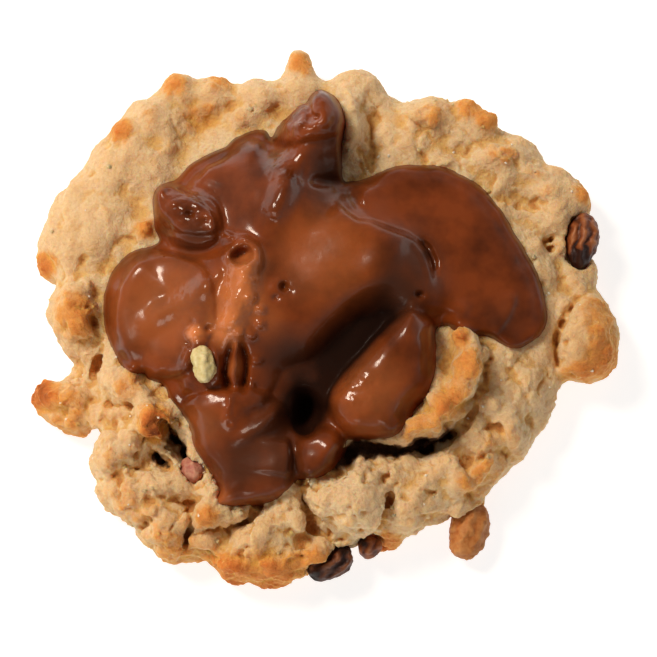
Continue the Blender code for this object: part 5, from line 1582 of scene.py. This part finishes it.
    def build(self, dough: bpy.types.Object) -> bpy.types.Object:
        """Make the chocolate.

        Args:
            dough: the finished dough, which it lies on.

        Returns:
            The finished piece.
        """
        view = SeenMap(34.0, 0.2, ragged=0.05, ragged_mm=1.6, seed=8)
        depth = view.depth_inside(CHOCOLATE_EDGE)
        ground = view.filled(view.cast(tree_of(dough)), 0.45)
        solid = merged_copy("chocolate", "solid_chocolate")
        mass = view.filled(view.cast(tree_of(solid)), self.calm)
        bpy.data.objects.remove(solid, do_unlink=True)
        crisp = view.drawn(self.folds)
        crisp -= view.blurred(crisp, self.wide)
        crisp += view.blurred(view.drawn(self.lines) + view.drawn(self.masses), 0.12)
        crisp += view.blurred(view.drawn(self.soft), 0.9) + view.knobbed(self.knobs)
        thick = np.maximum(mass - view.filled(np.where(depth > 0.0, ground, np.nan), 1.0), 1.4)
        steep = patches(np.stack([view.x.ravel(), view.y.ravel()], axis=1), self.steep).reshape(depth.shape)
        limit = self.border_rise * (1.0 + 2.4 * steep) * rounded(depth, self.border_edge / (1.0 + steep))
        limit += 1.6 * np.maximum(depth - 1.5, 0.0)
        thick = (thick ** -4.0 + np.maximum(limit, 0.05) ** -4.0) ** -0.25
        thick = np.maximum(thick + crisp * soft_step(depth, -0.2, 1.0), np.minimum(limit, 1.3))
        top = ground + np.where(depth > 0.0, thick, 2.0 * depth)
        top = view.blurred(np.where(depth > -2.0, top, view.filled(top, 1.0)), 0.14)
        ob = view.slab("poured_chocolate", depth > -0.8, top, np.minimum(ground, top) - 0.9)
        voxels(ob, self.grain)
        soften(ob, 5)
        self._mark_bumpy(ob.data)
        run_tree(ob, self.relief.tree(), self.relief.numbers())
        thin_out(ob, self.triangles)
        self._tones_and_painted_light(ob.data, view)
        ob.data.materials.clear()
        ob.data.materials.append(self.finish.material())
        ob.data.shade_smooth()
        return ob

    def _mark_bumpy(self, mesh: bpy.types.Mesh) -> None:
        """Store rough: nearly smooth where the chocolate ran, bumpy over the nuts."""
        places = seen_places(points_of(mesh))
        put_values(mesh, "rough", 0.1 + patches(places, self.bumpy))

    def _tones_and_painted_light(self, mesh: bpy.types.Mesh, view: SeenMap) -> None:
        """Store the tones: redder where the coat is thin with painted light on the lit faces, painted shade
        on the faces turned away and in the grooves, the hole and the valley, and the gloss.

        Args:
            mesh: the chocolate.
            view: the map.
        """
        places = seen_places(points_of(mesh))
        put_values(mesh, "warmth_and_lit", np.clip(patches(places, self.warm_and_lit), 0.0, 1.0))
        painted_dark_side = np.clip(patches(places, self.painted_dark_side), 0.0, 0.85)
        put_values(mesh, "painted_dark_side", painted_dark_side)
        # Painted shade, near black, in the deep grooves and the hole, the shaded patches and the valley.
        cuts = [form for form in self.lines + self.masses if form.rise < -1.9]
        depth = view.sampled(view.blurred(view.drawn(cuts), 0.2), places)
        lobe = view.blurred(view.depth_inside(LOBE_EDGE), 0.3)
        valley_shade = view.sampled(view.drawn(self.valley_shade) * (1.0 - soft_step(lobe, -0.1, 1.3)), places)
        sunken_shade = np.clip(soft_step(-depth, 1.2, 4.5) + patches(places, self.shaded) + valley_shade, 0.0, 0.95)
        put_values(mesh, "sunken_shade", sunken_shade)
        inside = view.sampled(view.depth_inside(CHOCOLATE_EDGE), places)
        gloss = 0.75 * (0.35 + 0.65 * soft_step(inside, 0.4, 2.4)) * (1.0 - sunken_shade) * (1.0 - 0.6 * painted_dark_side)
        gloss *= np.clip(1.0 - patches(places, self.satin), 0.03, 1.0)
        put_values(mesh, "gloss", gloss)


@dataclass
class NutPiece:
    """A piece of nut: the solid's form with lengthwise furrows and fine wrinkles."""

    node: str
    kind: NutKind
    slot: str
    wrinkle: float = 0.35
    furrow: float = 0.0
    pitch: float = 1.3
    lie: float = 90.0
    pinch: float = 0.0
    twist: float = 0.0
    shaded: tuple[Spot, ...] = ()
    grain: float = 0.16

    def build(self) -> bpy.types.Object:
        """Make the nut.

        Returns:
            The finished piece.
        """
        ob = voxels(merged_copy(self.node, self.node + "_kernel"), self.grain)
        soften(ob, 6)
        self._shape(ob.data)
        put_values(ob.data, "rough", np.ones(len(ob.data.vertices)))
        relief = CrumbRelief(
            swell_mm=2.4, swell_height=2.0 * self.wrinkle, crumb_mm=1.2, crumb_height=self.wrinkle,
            grain_mm=0.5, grain_height=0.15, crack_mm=2.0, crack_depth=0.0, seed=3, clump_mm=3.0,
            clump_height=0.0)
        run_tree(ob, relief.tree(), relief.numbers())
        run_tree(ob, HollowMap(rounds=16, depth_mm=0.35).tree(), {})
        self._tone(ob.data)
        ob.data.materials.clear()
        ob.data.materials.append(self.kind.value.material())
        ob.data.shade_smooth()
        return ob

    def _shape(self, mesh: bpy.types.Mesh) -> None:
        """Draw the kernel in at its waist, shift its halves apart and cut its furrows.

        Args:
            mesh: the kernel.
        """
        points, normals = points_of(mesh), normals_of(mesh)
        places = seen_places(points)
        offset = places - places.mean(axis=0)
        turn = math.radians(self.lie)
        along = offset @ np.array([math.cos(turn), math.sin(turn)])
        across = offset @ np.array([-math.sin(turn), math.cos(turn)])
        reach = np.abs(along).max()
        waist = self.pinch * np.exp(-(along / (0.3 * reach)) ** 2)
        side = self.twist * np.tanh(2.5 * along / reach) - waist * across
        points[:, 0] -= side * math.sin(turn) * MM
        points[:, 1] += side * math.cos(turn) * MM
        bend = 0.22 * np.sin(1.7 * along) + 0.16 * np.sin(3.1 * along + 2.0 * across)
        wave = 0.5 + 0.5 * np.cos(math.tau * (across + bend) / self.pitch)
        facing = soft_step(normals @ np.array(towards_eye()), 0.0, 0.6)
        points -= (self.furrow * (1.0 - wave) * facing * MM)[:, None] * np.array(towards_eye())
        put_values(mesh, "furrow", (1.0 - wave) * (self.furrow > 0.0))
        put_points(mesh, points)

    def _tone(self, mesh: bpy.types.Mesh) -> None:
        """Store ridge, high where the skin is worn pale, low in furrows, and lowered by painted shade where
        the nut meets the dough.

        Args:
            mesh: the kernel.
        """
        ridge = 0.38 - 0.26 * values_of(mesh, "hollow") - 0.2 * values_of(mesh, "furrow")
        ridge -= patches(seen_places(points_of(mesh)), self.shaded)
        put_values(mesh, "ridge", np.clip(ridge, -0.5, 1.0))


@dataclass
class LooseBits:
    """Crumbs and sugar grains that cling to the dough."""

    crumbs: Scatter = Scatter(
        "clinging_crumbs", number_per_cm2=3.0, smallest_mm=0.35, largest_mm=0.8, seed=5, weight="crumbly")
    sugar: Scatter = Scatter(
        "sugar_grains", number_per_cm2=2.0, smallest_mm=0.22, largest_mm=0.42, seed=9, weight="crumbly",
        sharp=True)

    def build(self, dough: bpy.types.Object) -> list[bpy.types.Object]:
        """Strew them over the dough.

        Args:
            dough: the finished dough.

        Returns:
            The crumbs and the sugar.
        """
        self._mark(dough.data)
        pieces = []
        for scatter, finish in ((self.crumbs, BakedDough("crumb_of_dough")), (self.sugar, SugarCrystal())):
            ob = new_object(scatter.name, dough.data.copy())
            run_tree(ob, scatter.tree(finish.material()), {})
            ob.data.shade_smooth()
            pieces.append(ob)
        return pieces

    def _mark(self, mesh: bpy.types.Mesh) -> None:
        """Store crumbly: where crumbs lie, more of them low in the picture and in the open.

        Args:
            mesh: the dough.
        """
        points = points_of(mesh)
        places = seen_places(points)
        rough = np.clip(values_of(mesh, "rough") - 0.3, 0.0, 1.0)
        up = soft_step(normals_of(mesh)[:, 2], 0.1, 0.6)
        shade = np.hypot(places[:, 0] + 1.0, places[:, 1] - 1.0)
        put_values(mesh, "crumbly", rough * up * soft_step(shade, 16.0, 26.0))


@dataclass
class Studio:
    """Plain pale floor, soft daylight from the upper left and the photographer's camera."""

    distance: float = 450.0
    aim: tuple[float, float] = (0.48, -1.18)
    floor_half: float = 1500.0

    def build(self) -> None:
        """Set the floor, lights, sky and camera."""
        self._floor()
        self._light("window", (-0.355, 0.255, 0.6), (0.19, 0.23), 4.65, "FFEFDC")
        self._light("far_wall", (-0.3, -0.75, 0.35), (0.4, 0.3), 1.4, "FFF4E6")
        self._sky()
        self._camera()
        bpy.context.scene.view_settings.view_transform = "Standard"

    def _floor(self) -> None:
        """White matte tabletop."""
        bm = bmesh.new()
        bmesh.ops.create_grid(bm, x_segments=1, y_segments=1, size=self.floor_half * MM)
        floor = from_bmesh("tabletop", bm)
        made = bpy.data.materials.new("white_card")
        made.use_nodes = True
        shader = made.node_tree.nodes["Principled BSDF"]
        shader.inputs["Base Color"].default_value = (0.5, 0.5, 0.5, 1.0)
        shader.inputs["Roughness"].default_value = 0.9
        shader.inputs["Emission Color"].default_value = (1.0, 1.0, 1.0, 1.0)
        shader.inputs["Emission Strength"].default_value = 0.78
        floor.data.materials.append(made)

    def _light(
        self, name: str, place: Sequence[float], size: Sequence[float], watts: float, colour: str,
    ) -> None:
        """Add a soft light that faces the cookie.

        Args:
            name: its name.
            place: where it hangs, in metres.
            size: width and height in metres.
            watts: its power.
            colour: hex colour of its light.
        """
        lamp = bpy.data.lights.new(name, "AREA")
        lamp.shape = "RECTANGLE"
        lamp.size, lamp.size_y = size
        lamp.energy = watts
        lamp.color = linear(colour)[:3]
        ob = bpy.data.objects.new(name, lamp)
        ob.location = place
        ob.rotation_euler = (-Vector(place)).to_track_quat("-Z", "Y").to_euler()
        bpy.context.scene.collection.objects.link(ob)

    def _sky(self) -> None:
        """Pale walls all round under a darker ceiling."""
        sky = bpy.data.worlds.new("pale_room")
        sky.use_nodes = True
        tree = sky.node_tree
        tree.nodes.clear()
        place = add_node(tree, "ShaderNodeTexCoord").outputs["Generated"]
        height = add_node(tree, "ShaderNodeSeparateXYZ", {0: place}).outputs[2]
        glow = add_node(tree, "ShaderNodeMapRange", {
            "Value": height, "From Min": 0.0, "From Max": 0.9, "To Min": 0.5, "To Max": 0.14})
        shine = add_node(tree, "ShaderNodeBackground", {
            "Color": linear("FFF6EC"), "Strength": glow.outputs[0]})
        add_node(tree, "ShaderNodeOutputWorld", {"Surface": shine.outputs[0]})
        bpy.context.scene.world = sky

    def _camera(self) -> None:
        """Camera on the line of sight of the photograph, with its long lens."""
        lens = bpy.data.cameras.new("photographer")
        lens.sensor_width = 36.0
        middle_scale = self.distance / (self.distance - 8.0)
        lens.lens = 36.0 * self.distance / (PICTURE_MM * middle_scale)
        lens.clip_start, lens.clip_end = 0.01, 10.0
        ob = bpy.data.objects.new("photographer", lens)
        target = Vector((self.aim[0] + MIDDLE_SHIFT[0], self.aim[1] + MIDDLE_SHIFT[1], 0.0)) * MM
        ob.location = target + towards_eye() * self.distance * MM
        ob.rotation_euler = (VIEW_TILT, 0.0, 0.0)
        bpy.context.scene.collection.objects.link(ob)
        bpy.context.scene.camera = ob


NUTS = (
    NutPiece("east_pecan", NutKind.PECAN, "pecan_skin", 0.4, 0.32, 1.45, 84.0,
             shaded=(Spot(35.0, 8.0, 2.6, 0.6), Spot(33.6, 14.2, 1.2, 0.5))),
    NutPiece("south_pecan", NutKind.DARK_PECAN, "dark_pecan_skin", 0.4, 0.4, 1.8, 55.0,
             shaded=(Spot(2.6, -30.4, 1.8, 0.5), Spot(-1.4, -35.0, 1.4, 0.4))),
    NutPiece("south_pecan_half", NutKind.PECAN, "pecan_skin", 0.25, 0.3, 1.5, 100.0,
             shaded=(Spot(5.0, -29.9, 1.4, 0.3),)),
    NutPiece("toasted_nut", NutKind.TOASTED, "toasted_nut_skin", 0.5),
    NutPiece("red_skinned_nut", NutKind.RED_SKIN, "red_nut_skin", 0.5),
    NutPiece("bare_nutmeat", NutKind.NUTMEAT, "pale_nutmeat", 0.4, pinch=0.1, twist=0.4),
)


def hand_over(piece: bpy.types.Object, node: str | None = None) -> None:
    """Tie a finished piece to the cookie.

    Args:
        piece: the piece.
        node: solid that it stands for, if any.
    """
    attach(piece, "root")
    if node:
        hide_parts(node)
    LOG.info("%s: %d triangles", piece.name, sum(len(p.vertices) - 2 for p in piece.data.polygons))


def main() -> None:
    """Build every piece of the cookie and its setting."""
    logging.basicConfig(level=logging.INFO, format="%(name)s: %(message)s")
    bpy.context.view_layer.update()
    Studio().build()
    dough = DoughBody().build()
    chocolate = ChocolateCoat().build(dough)
    hand_over(dough, "dough")
    hand_over(chocolate, "chocolate")
    for nut in NUTS:
        hand_over(nut.build(), nut.node)
    for bits in LooseBits().build(dough):
        hand_over(bits)


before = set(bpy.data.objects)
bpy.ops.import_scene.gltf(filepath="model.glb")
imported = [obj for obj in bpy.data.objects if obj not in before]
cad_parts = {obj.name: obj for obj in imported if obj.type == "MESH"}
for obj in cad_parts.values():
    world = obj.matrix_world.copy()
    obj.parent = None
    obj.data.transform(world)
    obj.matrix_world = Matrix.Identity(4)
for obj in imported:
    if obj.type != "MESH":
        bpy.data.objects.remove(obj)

if __name__ == "__main__":
    main()
